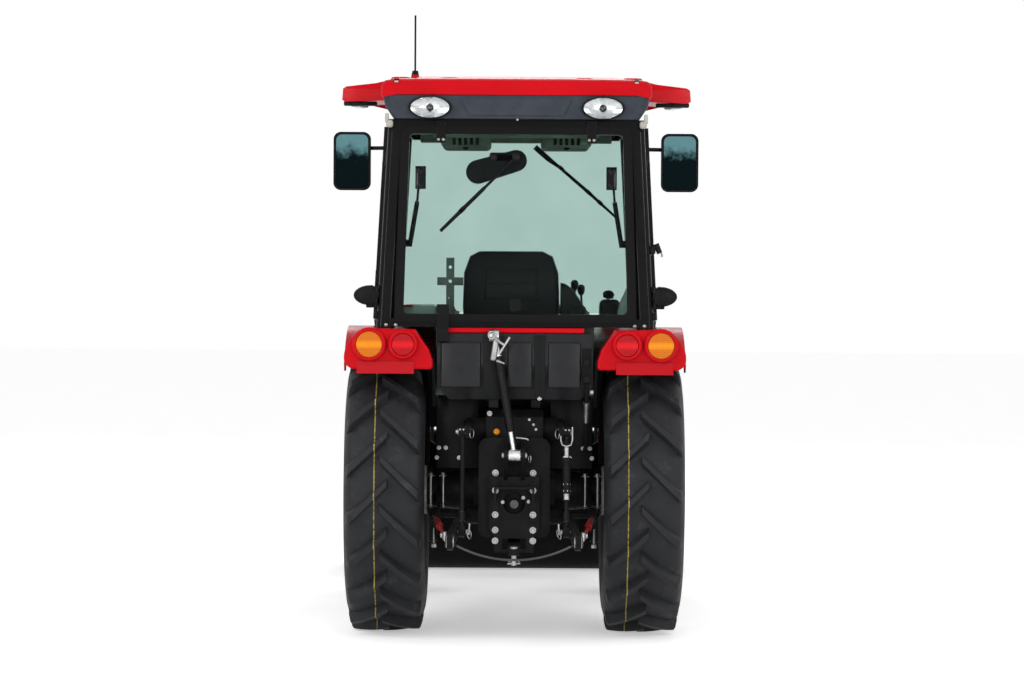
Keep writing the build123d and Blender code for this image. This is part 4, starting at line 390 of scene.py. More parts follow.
def ribbed_lens(name, deep, bright, rib_scale, band=None):
    """Pressed lens: upright ribs crossed by rows, with a painted highlight: a brighter band at the height of the bulb
    behind it.
    """
    made, tree, shader = new_finish(
        name, IOR=1.5, Coat_Weight=0.05, Coat_Roughness=0.03, Roughness=0.22, Specular_IOR_Level=0.1
    )
    place = object_place(tree)
    waves = []
    for way, scale in (("X", rib_scale), ("Z", rib_scale * 0.6)):
        made_wave = add_node(
            tree, "ShaderNodeTexWave", {"Vector": place, "Scale": scale, "Distortion": 0.0}, bands_direction=way
        )
        waves.append(made_wave.outputs["Fac"])
    cells = math_node(tree, "MULTIPLY", waves[0], waves[1])
    share = ramp(tree, cells, 0.1, 0.75, 0.0, 0.35)
    # painted highlight: a brighter band across the lens at the height of the bulbs
    if band:
        height, reach = band
        painted_highlight = place_group(tree, "band", Direction=(0, 0, 1), Low=height - reach, High=height + reach, Soft=0.016)
        share = math_node(tree, "ADD", share, math_node(tree, "MULTIPLY", painted_highlight["Mask"], 0.6), clamp=True)
    colour = mix_colour(tree, share, deep, bright)
    feed(tree, shader, "Base Color", colour)
    # painted glow in the lens's own colour; the red reflector, which has no bulb, glows as well
    shader.inputs["Emission Strength"].default_value = 0.1
    feed(tree, shader, "Emission Color", colour)
    bump(tree, shader, cells, 0.4, 0.0015)
    return made


def seat_cloth(name, colour, threads, sheen=0.08):
    """Woven seat cover with its threads, a soft sheen and a little dust."""
    made, tree, shader = new_finish(name, Sheen_Weight=sheen, Specular_IOR_Level=0.1)
    threads_out = place_group(tree, "weave", Threads=threads)
    toned = tinted(tree, colour, threads_out["Tone"])
    film = place_group(tree, "dust", Amount=0.03, Patch_Scale=9.0, Ground_Reach=2.5)["Mask"]
    feed(tree, shader, "Base Color", mix_colour(tree, film, toned, DUST_COLOUR))
    feed(tree, shader, "Roughness", ramp(tree, threads_out["Height"], 0.0, 1.0, 0.78, 0.92, smooth=False))
    bump(tree, shader, threads_out["Height"], 0.35, 0.0007)
    return made


# ------------------------------------------------------------------ mesh building
def at(x, y, z):
    """Millimetres, with y counted from the rear axle, as a place in the shared frame in metres."""
    return Vector((x * MM, REAR_AXLE_Y + y * MM, z * MM))


def finish_piece(name, mesh, finish, body="root", sharp=32):
    """Turn built faces into a named piece that rides on a body."""
    bmesh.ops.recalc_face_normals(mesh, faces=mesh.faces)
    for face in mesh.faces:
        face.smooth = True
    for edge in mesh.edges:
        edge.smooth = edge.is_manifold and edge.calc_face_angle(0.0) < math.radians(sharp)
    data = bpy.data.meshes.new(name)
    mesh.to_mesh(data)
    mesh.free()
    data.materials.append(finish)
    piece = bpy.data.objects.new(name, data)
    bpy.context.collection.objects.link(piece)
    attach(piece, body)
    return piece


def join_rings(mesh, near, far):
    """Faces between two rings of corners; a ring of one corner is a point."""
    count = max(len(near), len(far))
    for i in range(count):
        corners = [near[i % len(near)], near[(i + 1) % len(near)], far[(i + 1) % len(far)], far[i % len(far)]]
        unique = list(dict.fromkeys(corners))
        if len(unique) > 2:
            mesh.faces.new(unique)


def close_ends(mesh, rings):
    """Faces over the first and the last of a row of rings."""
    mesh.faces.new(rings[0][::-1])
    mesh.faces.new(rings[-1])


def turned(mesh, centre, direction, profile, steps=32, closed=False, stretch=1.0):
    """Turn a profile of (along, radius) points in mm about an axis; stretch flattens it across the second way."""
    direction = Vector(direction).normalized()
    side = direction.orthogonal().normalized() if abs(direction.x) > 0.5 else Vector((1, 0, 0))
    side = (side - direction * side.dot(direction)).normalized()
    up = direction.cross(side)
    rings = []
    for along, radius in profile:
        middle = centre + direction * along * MM
        if radius == 0:
            rings.append([mesh.verts.new(middle)])
            continue
        turns = [2 * math.pi * (i + 0.5) / steps for i in range(steps)]
        rings.append(
            [mesh.verts.new(middle + (side * math.cos(t) + up * math.sin(t) * stretch) * radius * MM) for t in turns]
        )
    for near, far in zip(rings, rings[1:] + rings[:1] if closed else rings[1:]):
        join_rings(mesh, near, far)
    return rings


def tilted(degrees, axis):
    return Matrix.Rotation(math.radians(degrees), 4, axis)


def rounded_block(mesh, middle, size, corner, turn=None, segments=3):
    """A block with rounded edges; middle in metres, sizes in mm."""
    matrix = Matrix.Translation(middle)
    if turn:
        matrix = matrix @ turn
    matrix = matrix @ Matrix.Diagonal((*[side * MM for side in size], 1))
    made = bmesh.ops.create_cube(mesh, size=1.0, matrix=matrix)
    edges = {edge for vert in made["verts"] for edge in vert.link_edges}
    bmesh.ops.bevel(
        mesh, geom=list(edges), offset=corner * MM, segments=segments, profile=0.5, affect="EDGES", clamp_overlap=True
    )


def tube(mesh, points, radius, steps=12):
    """A round bar or pipe through points in metres; radius in mm, or one radius for each point."""
    radii = radius if isinstance(radius, (list, tuple)) else [radius] * len(points)
    rings = []
    side = None
    for i, point in enumerate(points):
        before, after = points[max(i - 1, 0)], points[min(i + 1, len(points) - 1)]
        along = (after - before).normalized()
        side = along.orthogonal().normalized() if side is None else (side - along * side.dot(along)).normalized()
        up = along.cross(side)
        turns = [2 * math.pi * k / steps for k in range(steps)]
        rings.append([mesh.verts.new(point + (side * math.cos(t) + up * math.sin(t)) * radii[i] * MM) for t in turns])
    for near, far in zip(rings, rings[1:]):
        join_rings(mesh, near, far)
    close_ends(mesh, rings)


def eased(points, count=8):
    """Points along a smooth line through a few given ones."""
    smooth = []
    padded_points = [points[0] * 2 - points[1], *points, points[-1] * 2 - points[-2]]
    for a, b, c, d in zip(padded_points, padded_points[1:], padded_points[2:], padded_points[3:]):
        for k in range(count):
            t = k / count
            smooth.append(
                0.5 * (2 * b + (c - a) * t + (2 * a - 5 * b + 4 * c - d) * t**2 + (3 * b - a - 3 * c + d) * t**3)
            )
    smooth.append(points[-1])
    return smooth


def hex_bolt(mesh, foot, direction, across):
    """A washer and a chamfered six-sided head, across in mm over the flats."""
    washer = across * 0.92
    turned(mesh, foot, direction, [(0, washer), (across * 0.14, washer), (across * 0.16, 0)], steps=20)
    corner = across / 2 / math.cos(math.pi / 6)
    low, high = across * 0.14, across * 0.62
    top = high + across * 0.08
    turned(mesh, foot, direction, [(low, corner), (high, corner), (top, corner * 0.86), (top, 0)], steps=6)


def bolt_set(name, finish, body, bolts):
    """Many bolts on one body as one piece; each is (place, direction, size across the flats)."""
    mesh = bmesh.new()
    for foot, direction, across in bolts:
        hex_bolt(mesh, foot, direction, across)
    return finish_piece(name, mesh, finish, body)


# ------------------------------------------------------------------ finishes
RED = (0.5, 0.0025, 0.0075)
BLACK = (0.0045, 0.0045, 0.005)
DEEP_BLACK = (0.0035, 0.0035, 0.004)
PLATED = (0.6, 0.61, 0.61)
SLATE = (0.036, 0.042, 0.054)

red_paint = enamel("red_enamel", RED, roughness=0.3, dust=0.05)
red_links = enamel("red_link_enamel", (0.2, 0.006, 0.008), roughness=0.4, dust=0.12, coat=0.05, rub=0.4)
black_gloss = enamel("black_post_enamel", DEEP_BLACK, roughness=0.2, dust=0.03, coat=0.12, gloss=0.06)
black_paint = enamel(
    "black_chassis_enamel", BLACK, roughness=0.42, dust=0.05, coat=0.03, rub=0.25, gloss=0.06
)
bucket_paint = enamel(
    "bucket_enamel", (0.006, 0.006, 0.0065), roughness=0.5, dust=0.1, coat=0.02, rub=0.5, gloss=0.06
)
rim_silver = enamel("rim_silver", (0.5, 0.5, 0.51), roughness=0.38, dust=0.2, gloss=0.3)
slate_plastic = moulded("slate_plastic", SLATE, roughness=0.46, grain=1100.0, depth=0.08, dust=0.05, gloss=0.1)
black_plastic = moulded("black_plastic", (0.006, 0.0065, 0.007), roughness=0.4, grain=1000.0, dust=0.03, gloss=0.08)
tank_plastic = moulded(
    "tank_plastic", (0.009, 0.0095, 0.011), roughness=0.34, grain=800.0, depth=0.05, dust=0.03, coat=0.1, gloss=0.15
)
trim_plastic = moulded("cab_trim_plastic", (0.05, 0.06, 0.055), roughness=0.55, grain=900.0, depth=0.2, dust=0.04)
sill_plastic = moulded("fender_trim_plastic", (0.14, 0.19, 0.16), roughness=0.4, grain=900.0, depth=0.1, dust=0.02)
soft_rubber = moulded(
    "soft_rubber", (0.006, 0.006, 0.007), roughness=0.6, grain=600.0, depth=0.25, dust=0.04, gloss=0.08
)
iron = casting("cast_iron_enamel", BLACK, dust=0.06)
engine_iron = casting("engine_enamel", (0.05, 0.05, 0.053), dust=0.2)
greased_steel = bright_metal("greased_steel", (0.07, 0.068, 0.065), roughness=0.4)
zinc = bright_metal("zinc_plate", (0.34, 0.34, 0.33), roughness=0.4, streak=(140.0, 140.0, 140.0))
chrome = bright_metal("chrome", (0.8, 0.81, 0.82), roughness=0.14, streak=(20.0, 20.0, 20.0))
reflector_chrome = bright_metal("lamp_reflector", (0.66, 0.66, 0.67), roughness=0.22, streak=(12.0, 12.0, 12.0))
cab_glass_finish = tinted_glass("green_cab_glass", (0.634, 0.76, 0.726))
clear_lens = tinted_glass("clear_lens_glass", (0.93, 0.95, 0.95), roughness=0.04)
mirror_painted_reflection = new_finish("mirror_painted_reflection", Metallic=1.0)[0]
LAMP_HIGHLIGHT_BAND = (1.243, 0.012)  # height of the bulbs and half the painted highlight band
amber_lens = ribbed_lens("amber_lens", (0.5, 0.12, 0.004), (0.9, 0.3, 0.008), 62.0, band=LAMP_HIGHLIGHT_BAND)
red_lens = ribbed_lens("red_lens", (0.3, 0.0015, 0.005), (0.8, 0.006, 0.012), 62.0, band=LAMP_HIGHLIGHT_BAND)
reflector_red = ribbed_lens("red_reflector", (0.4, 0.002, 0.007), (0.52, 0.003, 0.01), 160.0)
orange_plastic = moulded("orange_cap_plastic", (0.75, 0.27, 0.01), roughness=0.4, dust=0.03)
yellow_plastic = moulded("yellow_knob_plastic", (0.6, 0.5, 0.01), roughness=0.4, dust=0.02)
post_gloss = enamel("post_cover_enamel", DEEP_BLACK, roughness=0.14, dust=0.02, coat=0.0, gloss=0.16)
boss_plastic = moulded("grey_boss_plastic", (0.42, 0.4, 0.36), roughness=0.45, dust=0.03)


def finish_mirror():
    """Silvered glass with a painted reflection: dark low down, a cool tint that pales in soft patches towards its
    top, with faint wipe marks.
    """
    tree = mirror_painted_reflection.node_tree
    shader = tree.nodes["Principled BSDF"]
    place = object_place(tree)
    # painted reflection: dark at the bottom of the glass, pale teal patches towards its top
    rise = add_node(tree, "ShaderNodeSeparateXYZ", {0: place}).outputs["Z"]
    patches = math_node(tree, "MULTIPLY", noise(tree, place, 22.0, 5.0, 0.7), 0.16)
    share = ramp(tree, math_node(tree, "ADD", rise, patches), 2.13, 2.2)
    tint = mix_colour(tree, share, (0.004, 0.009, 0.011), (0.12, 0.26, 0.28))
    feed(tree, shader, "Base Color", tint)
    feed(tree, shader, "Roughness", ramp(tree, noise(tree, place, 30.0, 5.0), 0.3, 0.8, 0.03, 0.12))
    bump(tree, shader, noise(tree, place, 12.0, 2.0), 0.02, 0.0004)


finish_mirror()


def build_liner_finish():
    """Perforated headliner board: rows of small holes in a soft grained skin."""
    made, tree, shader = new_finish("headliner_board", Roughness=0.85, Specular_IOR_Level=0.08)
    place = object_place(tree)
    grid = {"Vector": place, "Scale": 140.0, "Randomness": 0.0}
    dots = add_node(tree, "ShaderNodeTexVoronoi", grid).outputs["Distance"]
    holes = ramp(tree, dots, 0.18, 0.3)
    skin = place_group(tree, "grain", Scale=800.0, Coarse_Scale=10.0)
    toned = tinted(tree, LINER_COLOUR, skin["Tone"])
    feed(tree, shader, "Base Color", mix_colour(tree, holes, (0.03, 0.03, 0.03), toned))
    feed(tree, shader, "Roughness", ramp(tree, skin["Height"], 0.3, 0.7, 0.8, 0.92))
    bump(tree, shader, math_node(tree, "ADD", holes, skin["Height"]), 0.25, 0.0008)
    return made


headliner_board = build_liner_finish()
seat_fabric = seat_cloth("seat_cloth_dark", (0.022, 0.024, 0.026), 420.0)
seat_vinyl = moulded(
    "seat_vinyl", (0.014, 0.015, 0.016), roughness=0.48, grain=1400.0, depth=0.3, dust=0.03, gloss=0.08
)

rear_axle_place = (0.0, REAR_AXLE_Y, REAR_AXLE_Z)
front_axle_place = (0.0, FRONT_AXLE_Y, FRONT_AXLE_Z)
rear_rings = ((0.37, 0.004), (0.384, 0.003), (0.5, 0.005))
front_rings = ((0.25, 0.003), (0.262, 0.003), (0.33, 0.004))
TYRE_FINISHES = {
    "rear_tyre_left": tyre_rubber("rear_tyre_rubber_left", rear_axle_place, rear_rings, stripe=-0.582),
    "rear_tyre_right": tyre_rubber("rear_tyre_rubber_right", rear_axle_place, rear_rings, stripe=0.475),
    "front_tyre_left": tyre_rubber("front_tyre_rubber_left", front_axle_place, front_rings),
    "front_tyre_right": tyre_rubber("front_tyre_rubber_right", front_axle_place, front_rings),
}

NODE_FINISHES = {
    red_paint: ("rear_panel", "hood"),
    black_gloss: ("cab_frame", "door_frame_left", "door_frame_right", "rear_window_frame"),
    black_paint: (
        "front_frame", "steps", "drawbar", "lift_arms", "lift_rods", "loader_frame", "boom",
        "bucket_cylinder_barrels", "boom_cylinder_barrels", "window_fittings",
    ),
    bucket_paint: ("bucket",),
    iron: ("transmission", "hitch_bracket", "front_axle", "knuckle_left", "knuckle_right"),
    engine_iron: ("engine", "radiator"),
    tank_plastic: ("fuel_tank",),
    slate_plastic: ("roof_fascia",),
    black_plastic: ("lamps", "mirrors", "grille", "steering_wheel"),
    trim_plastic: ("dashboard", "consoles", "cab_floor"),
    soft_rubber: ("rear_couplers",),
    headliner_board: ("headliner",),
    rim_silver: ("rear_rim_left", "rear_rim_right", "front_rim_left", "front_rim_right"),
    greased_steel: ("pto_shaft",),
    chrome: ("bucket_cylinder_rods", "boom_cylinder_rods"),
    amber_lens: ("amber_lenses",),
    cab_glass_finish: ("cab_glass", "door_glass_left", "door_glass_right"),
}


def paint_node(name, finish):
    """Give a carried-over node its finish in every slot."""
    data = nodes[name].data
    data.materials.clear()
    data.materials.append(finish)


def paint_faces(name, finishes, choose):
    """Give a node several finishes; choose picks one by its number from the middle of each face."""
    data = nodes[name].data
    data.materials.clear()
    for finish in finishes:
        data.materials.append(finish)
    place = nodes[name].matrix_world
    for face in data.polygons:
        face.material_index = int(choose(place @ face.center))


def link_finish(middle):
    """Red turnbuckles, a plain steel spreader rod and black links."""
    if 0.296 < abs(middle.x) < 0.333:
        return 1
    return 2 if abs(middle.x) < 0.236 and middle.z < 0.436 else 0


def paint_nodes():
    for finish, names in NODE_FINISHES.items():
        for name in names:
            paint_node(name, finish)
    for name, finish in TYRE_FINISHES.items():
        paint_node(name, finish)
    # only the outer arch of a fender is red; the lowest red lens is the reflector
    paint_faces("fenders", (red_paint, black_plastic), lambda middle: abs(middle.x) < 0.5 or middle.z < 1.14)
    paint_faces("lamp_housings", (red_paint,), lambda middle: 0)
    paint_faces("red_lenses", (red_lens, reflector_red), lambda middle: middle.z < 1.175)
    paint_faces("antenna", (black_plastic, red_paint), lambda middle: middle.z < 2.378)
    paint_faces("lower_links", (black_paint, red_links, greased_steel), link_finish)
    # screw ends of the top link are plated
    link_way = (at(-88, -470, 1302) - at(0, -470, 782)).normalized()
    along = link_way.dot(at(0, -470, 782))
    spans = ((along - 0.05, along + 0.1), (along + 0.42, along + 0.6))
    rod = two_tone_rod("top_link_finish", BLACK, PLATED, tuple(link_way), spans)
    paint_node("top_link", rod)


paint_nodes()


# ------------------------------------------------------------------ camera, floor and light
CAMERA_PLACE = (-0.013, -16.21, 1.643)
CAMERA_DOWN, CAMERA_ROLL = 1.52, 0.35  # degrees
LENS_LENGTH, SENSOR_WIDTH = 122.6, 36
WORLD_LIGHT = 0.62  # light from the surround where it isn't seen itself
FLOOR_LIFT = 0.42
FLOOR_HALF = 40.0


def set_camera():
    data = bpy.data.cameras.new("camera")
    data.lens = LENS_LENGTH
    data.sensor_width = SENSOR_WIDTH
    camera = bpy.data.objects.new("camera", data)
    look = tilted(90 - CAMERA_DOWN, "X") @ tilted(CAMERA_ROLL, "Z")
    camera.matrix_world = Matrix.Translation(CAMERA_PLACE) @ look
    bpy.context.collection.objects.link(camera)
    bpy.context.scene.camera = camera


def seen_directly(tree):
    """1 where the surround is looked at, mirrored or seen through glass, and 0 where it only gives light."""
    path = add_node(tree, "ShaderNodeLightPath").outputs
    seen = math_node(tree, "MAXIMUM", path["Is Camera Ray"], path["Is Transmission Ray"])
    return math_node(tree, "MAXIMUM", seen, path["Is Glossy Ray"])


def set_world():
    """Even studio daylight; the camera, gloss and glass see a white surround."""
    world = bpy.data.worlds.new("studio")
    world.use_nodes = True
    bpy.context.scene.world = world
    tree = world.node_tree
    tree.nodes.clear()
    strength = ramp(tree, seen_directly(tree), 0.0, 1.0, WORLD_LIGHT, 1.0, smooth=False)
    background = add_node(tree, "ShaderNodeBackground", {"Color": (1, 1, 1, 1), "Strength": strength})
    tree.links.new(background.outputs[0], add_node(tree, "ShaderNodeOutputWorld").inputs[0])


def add_softbox(name, place, target, width, height, power):
    data = bpy.data.lights.new(name, "AREA")
    data.shape = "RECTANGLE"
    data.size, data.size_y = width, height
    data.energy = power
    light = bpy.data.objects.new(name, data)
    light.location = place
    light.rotation_euler = (Vector(target) - Vector(place)).to_track_quat("-Z", "Y").to_euler()
    bpy.context.collection.objects.link(light)


def set_floor():
    """Pale floor that stays white where it is lit and darkens under the machine."""
    mesh = bmesh.new()
    bmesh.ops.create_grid(mesh, x_segments=2, y_segments=2, size=FLOOR_HALF)
    data = bpy.data.meshes.new("studio_floor")
    mesh.to_mesh(data)
    mesh.free()
    floor = bpy.data.objects.new("studio_floor", data)
    floor.location.z = -0.001
    bpy.context.collection.objects.link(floor)
    made, tree, shader = new_finish("studio_floor", Roughness=0.9, Specular_IOR_Level=0.1)
    shade = ramp(tree, noise(tree, object_place(tree), 3.0, 3.0), 0.3, 0.7, 0.84, 0.88)
    feed(tree, shader, "Base Color", mix_colour(tree, shade, (0.0, 0.0, 0.0), (1.0, 1.0, 1.0)))
    shader.inputs["Emission Color"].default_value = (1, 1, 1, 1)
    feed(tree, shader, "Emission Strength", math_node(tree, "MULTIPLY", seen_directly(tree), FLOOR_LIFT))
    data.materials.append(made)


bpy.context.scene.view_settings.view_transform = "Standard"
set_camera()
set_world()
set_floor()
SOFTBOXES = (
    # name, place, target, width, height, watts; the tall narrow ones draw the bright lines down the posts
    ("sky_left", (-6.5, -7.0, 6.5), (0, -0.6, 1.2), 5.0, 5.0, 310),
    ("sky_right", (7.0, -5.0, 5.5), (0, -0.4, 1.2), 4.0, 5.0, 200),
    ("sky_front", (1.0, 9.0, 7.0), (0, 0.4, 1.2), 6.0, 4.0, 300),
    ("strip_left", (-2.6, -9.5, 1.9), (0, -1.6, 1.5), 0.35, 3.4, 115),
    ("strip_right", (2.6, -9.5, 1.9), (0, -1.6, 1.5), 0.35, 3.4, 115),
)
for softbox in SOFTBOXES:
    add_softbox(*softbox)


# ------------------------------------------------------------------ tyres
REAR_TYRE = {
    "radius": 605, "bars": 18, "width": 40, "run": 150, "overlap": 14, "reach": 146, "crown_drop": 7,
    "side": (
        (133, 324), (137, 338), (147, 352), (158, 378), (165, 410), (169, 445), (169.5, 470), (166, 500), (158, 530),
        (145, 552), (126, 562), (84, 566), (40, 567),
    ),
}  # fmt: skip
FRONT_TYRE = {
    "radius": 427, "bars": 16, "width": 30, "run": 104, "overlap": 10, "reach": 106, "crown_drop": 5,
    "side": (
        (88, 220), (91, 231), (99, 241), (110, 262), (116, 286), (119, 310), (119.5, 328), (117, 348), (111, 368),
        (101, 385), (86, 394), (58, 399), (28, 400),
    ),
}  # fmt: skip


def tyre_point(centre, offset, turn, radius):
    """Place on a wheel: offset along the axle, turn in radians from straight up, radius in mm."""
    return centre + Vector((offset, -radius * math.sin(turn), radius * math.cos(turn))) * MM


def add_bar(mesh, centre, spec, side, turn):
    """One slanted bar: it follows the tread's curve, widens to the shoulder and ends in a sloped foot."""
    radius, run, reach = spec["radius"], spec["run"], spec["reach"]
    side_line = dict(enumerate(spec["side"]))
    shoulder = side_line[len(side_line) - 5][1]
    stations = []
    for k in range(9):
        share = k / 8
        offset = -spec["overlap"] + (reach - 5 + spec["overlap"]) * share
        slant = run / 2 - run * (1.06 * share - 0.06 * share**2)
        top = radius - spec["crown_drop"] * max(offset / reach, 0.0) ** 3
        half = spec["width"] / 2 * (0.86 + 0.2 * share)
        stations.append((offset, slant, top, half, radius * 0.92))
    stations.append((reach + 3, -run / 2 - 3, radius * 0.972, spec["width"] / 2 * 1.08, radius * 0.88))
    stations.append((reach + 9, -run / 2 - 5, radius * 0.925, spec["width"] / 2 * 1.1, radius * 0.84))
    stations.append((reach + 4, -run / 2 - 6, shoulder * 0.9, spec["width"] / 2 * 1.1, shoulder * 0.86))
    rings = []
    flare = spec["width"] * 0.16
    for offset, slant, top, half, low in stations:
        rising = [(-half - flare, low), (-half, top - 7), (-half + 4, top)]
        corners = rising + [(-across, height) for across, height in reversed(rising)]
        places = [tyre_point(centre, side * offset, turn - (slant + across) / radius, r) for across, r in corners]
        rings.append([mesh.verts.new(place) for place in places])
    for near, far in zip(rings, rings[1:]):
        join_rings(mesh, near, far)
    close_ends(mesh, rings)


def build_tyre(name, body, centre, spec):
    """Rounded carcass and two staggered rows of bars whose inner ends cross the middle."""
    mesh = bmesh.new()
    side = spec["side"]
    bead = (side[0][0], side[0][1] - 17)
    half = [bead, *side]
    outline = [(-offset, radius) for offset, radius in half] + [(offset, radius) for offset, radius in reversed(half)]
    turned(mesh, centre, (1, 0, 0), outline, steps=144, closed=True)
    pitch = 2 * math.pi / spec["bars"]
    start = math.pi - math.asin((spec["run"] + spec["width"]) / 2 / spec["radius"])
    for row, way in enumerate(BOTH_SIDES):
        for index in range(spec["bars"]):
            add_bar(mesh, centre, spec, way, start + (index + row / 2) * pitch)
    tyre = finish_piece(f"{name}_dressed", mesh, TYRE_FINISHES[name], body, sharp=38)
    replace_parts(tyre, name)


for label, way in HANDS:
    for end, half_track, axle_y, axle_z, spec in (
        ("rear", REAR_HALF_TRACK, REAR_AXLE_Y, REAR_AXLE_Z, REAR_TYRE),
        ("front", FRONT_HALF_TRACK, FRONT_AXLE_Y, FRONT_AXLE_Z, FRONT_TYRE),
    ):
        build_tyre(f"{end}_tyre_{label}", f"{end}_wheel_{label}", Vector((way * half_track, axle_y, axle_z)), spec)


# ------------------------------------------------------------------ seat
def stuffed(base, swell, pressure=4.0, voxel=0.006):
    """Blow a closed shape up like a foam pad under its cover; no point moves further than swell, in metres."""
    remesh = base.modifiers.new("remesh", "REMESH")
    remesh.mode, remesh.voxel_size, remesh.use_smooth_shade = "VOXEL", voxel, True
    apply_modifiers(base)
    start = [vert.co.copy() for vert in base.data.vertices]
    cloth = base.modifiers.new("cover", "CLOTH")
    cloth.settings.use_pressure = True
    cloth.settings.uniform_pressure_force = pressure
    cloth.settings.effector_weights.gravity = 0.0
    cloth.settings.tension_stiffness = cloth.settings.compression_stiffness = 40
    cloth.point_cache.frame_start, cloth.point_cache.frame_end = 1, 20
    scene = bpy.context.scene
    for frame_number in range(1, 21):
        scene.frame_set(frame_number)
    apply_modifiers(base)
    for vert, before in zip(base.data.vertices, start):
        move = vert.co - before
        if move.length > swell:
            vert.co = before + move.normalized() * swell
    scene.frame_set(1)
    smooth = base.modifiers.new("smooth", "SMOOTH")
    smooth.iterations = 3
    subdivide = base.modifiers.new("subdivide", "SUBSURF")
    subdivide.levels = 1
    return apply_modifiers(base)


def apply_modifiers(piece):
    """The piece with its modifiers made part of its mesh."""
    graph = bpy.context.evaluated_depsgraph_get()
    done = bpy.data.meshes.new_from_object(piece.evaluated_get(graph))
    piece.modifiers.clear()
    piece.data = done
    return piece


def sew(piece, channels, depth, width):
    """Press sewn channels into a pad: each is (plane point, plane normal, lowest, highest corner of its reach)."""
    for vert in piece.data.vertices:
        for point, normal, low, high in channels:
            if not all(low[i] <= vert.co[i] <= high[i] for i in range(3)):
                continue
            away = abs((vert.co - point).dot(normal))
            if away < 3 * width:
                vert.co -= vert.normal * depth * math.exp(-((away / width) ** 2))
    piece.data.update()


def pad_piece(name, build, finish, swell, channels=(), depth=0.006, width=0.006):
    """A cushion built by a shape function, blown up, sewn and placed on the seat."""
    mesh = bmesh.new()
    build(mesh)
    piece = finish_piece(name, mesh, finish)
    stuffed(piece, swell)
    piece.data.materials.clear()
    piece.data.materials.append(finish)
    if channels:
        sew(piece, channels, depth, width)
    for face in piece.data.polygons:
        face.use_smooth = True
    return piece


def lofted(mesh, sections):
    """Skin through closed loops of places, with both ends closed."""
    rings = [[mesh.verts.new(place) for place in section] for section in sections]
    for near, far in zip(rings, rings[1:]):
        join_rings(mesh, near, far)
    close_ends(mesh, rings)


def rounded_outline(half, low, high, corner, steps=4):
    """Outline of (across, up) points with rounded corners, in mm."""
    points = []
    for cx, cz, begin in ((half - corner, high - corner, 0), (-half + corner, high - corner, 90),
                          (-half + corner, low + corner, 180), (half - corner, low + corner, 270)):  # fmt: skip
        for k in range(steps + 1):
            turn = math.radians(begin + 90 * k / steps)
            points.append((cx + corner * math.cos(turn), cz + corner * math.sin(turn)))
    return points


def seat_at(x, y, z):
    """A place on the seat, which stands a little left of the middle."""
    return at(0.9 * x - 18, y, z)


def cushion_shape(mesh):
    """Seat cushion: higher sides, a rounded front edge, flat where it rests on its pan."""
    sections = []
    for y, half, low, high in (
        (36, 196, 1168, 1206), (60, 206, 1164, 1212), (200, 214, 1164, 1210), (330, 216, 1164, 1220),
        (420, 210, 1164, 1226), (452, 200, 1170, 1216),
    ):  # fmt: skip
        sections.append([seat_at(x, y, z) for x, z in rounded_outline(half, low, high, 18)])
    lofted(mesh, sections)


def back_shape(mesh):
    """Back cushion: waisted at the seat, widest at the shoulders, rounded at the top."""
    sections = []
    for z, half, rear, front in (
        (1236, 178, 52, 92), (1262, 196, 46, 100), (1400, 212, 40, 98), (1520, 206, 36, 88),
        (1590, 190, 34, 82), (1622, 168, 38, 72),
    ):  # fmt: skip
        sections.append([seat_at(x, y, z) for x, y in rounded_outline(half, rear, front, 16)])
    lofted(mesh, sections)


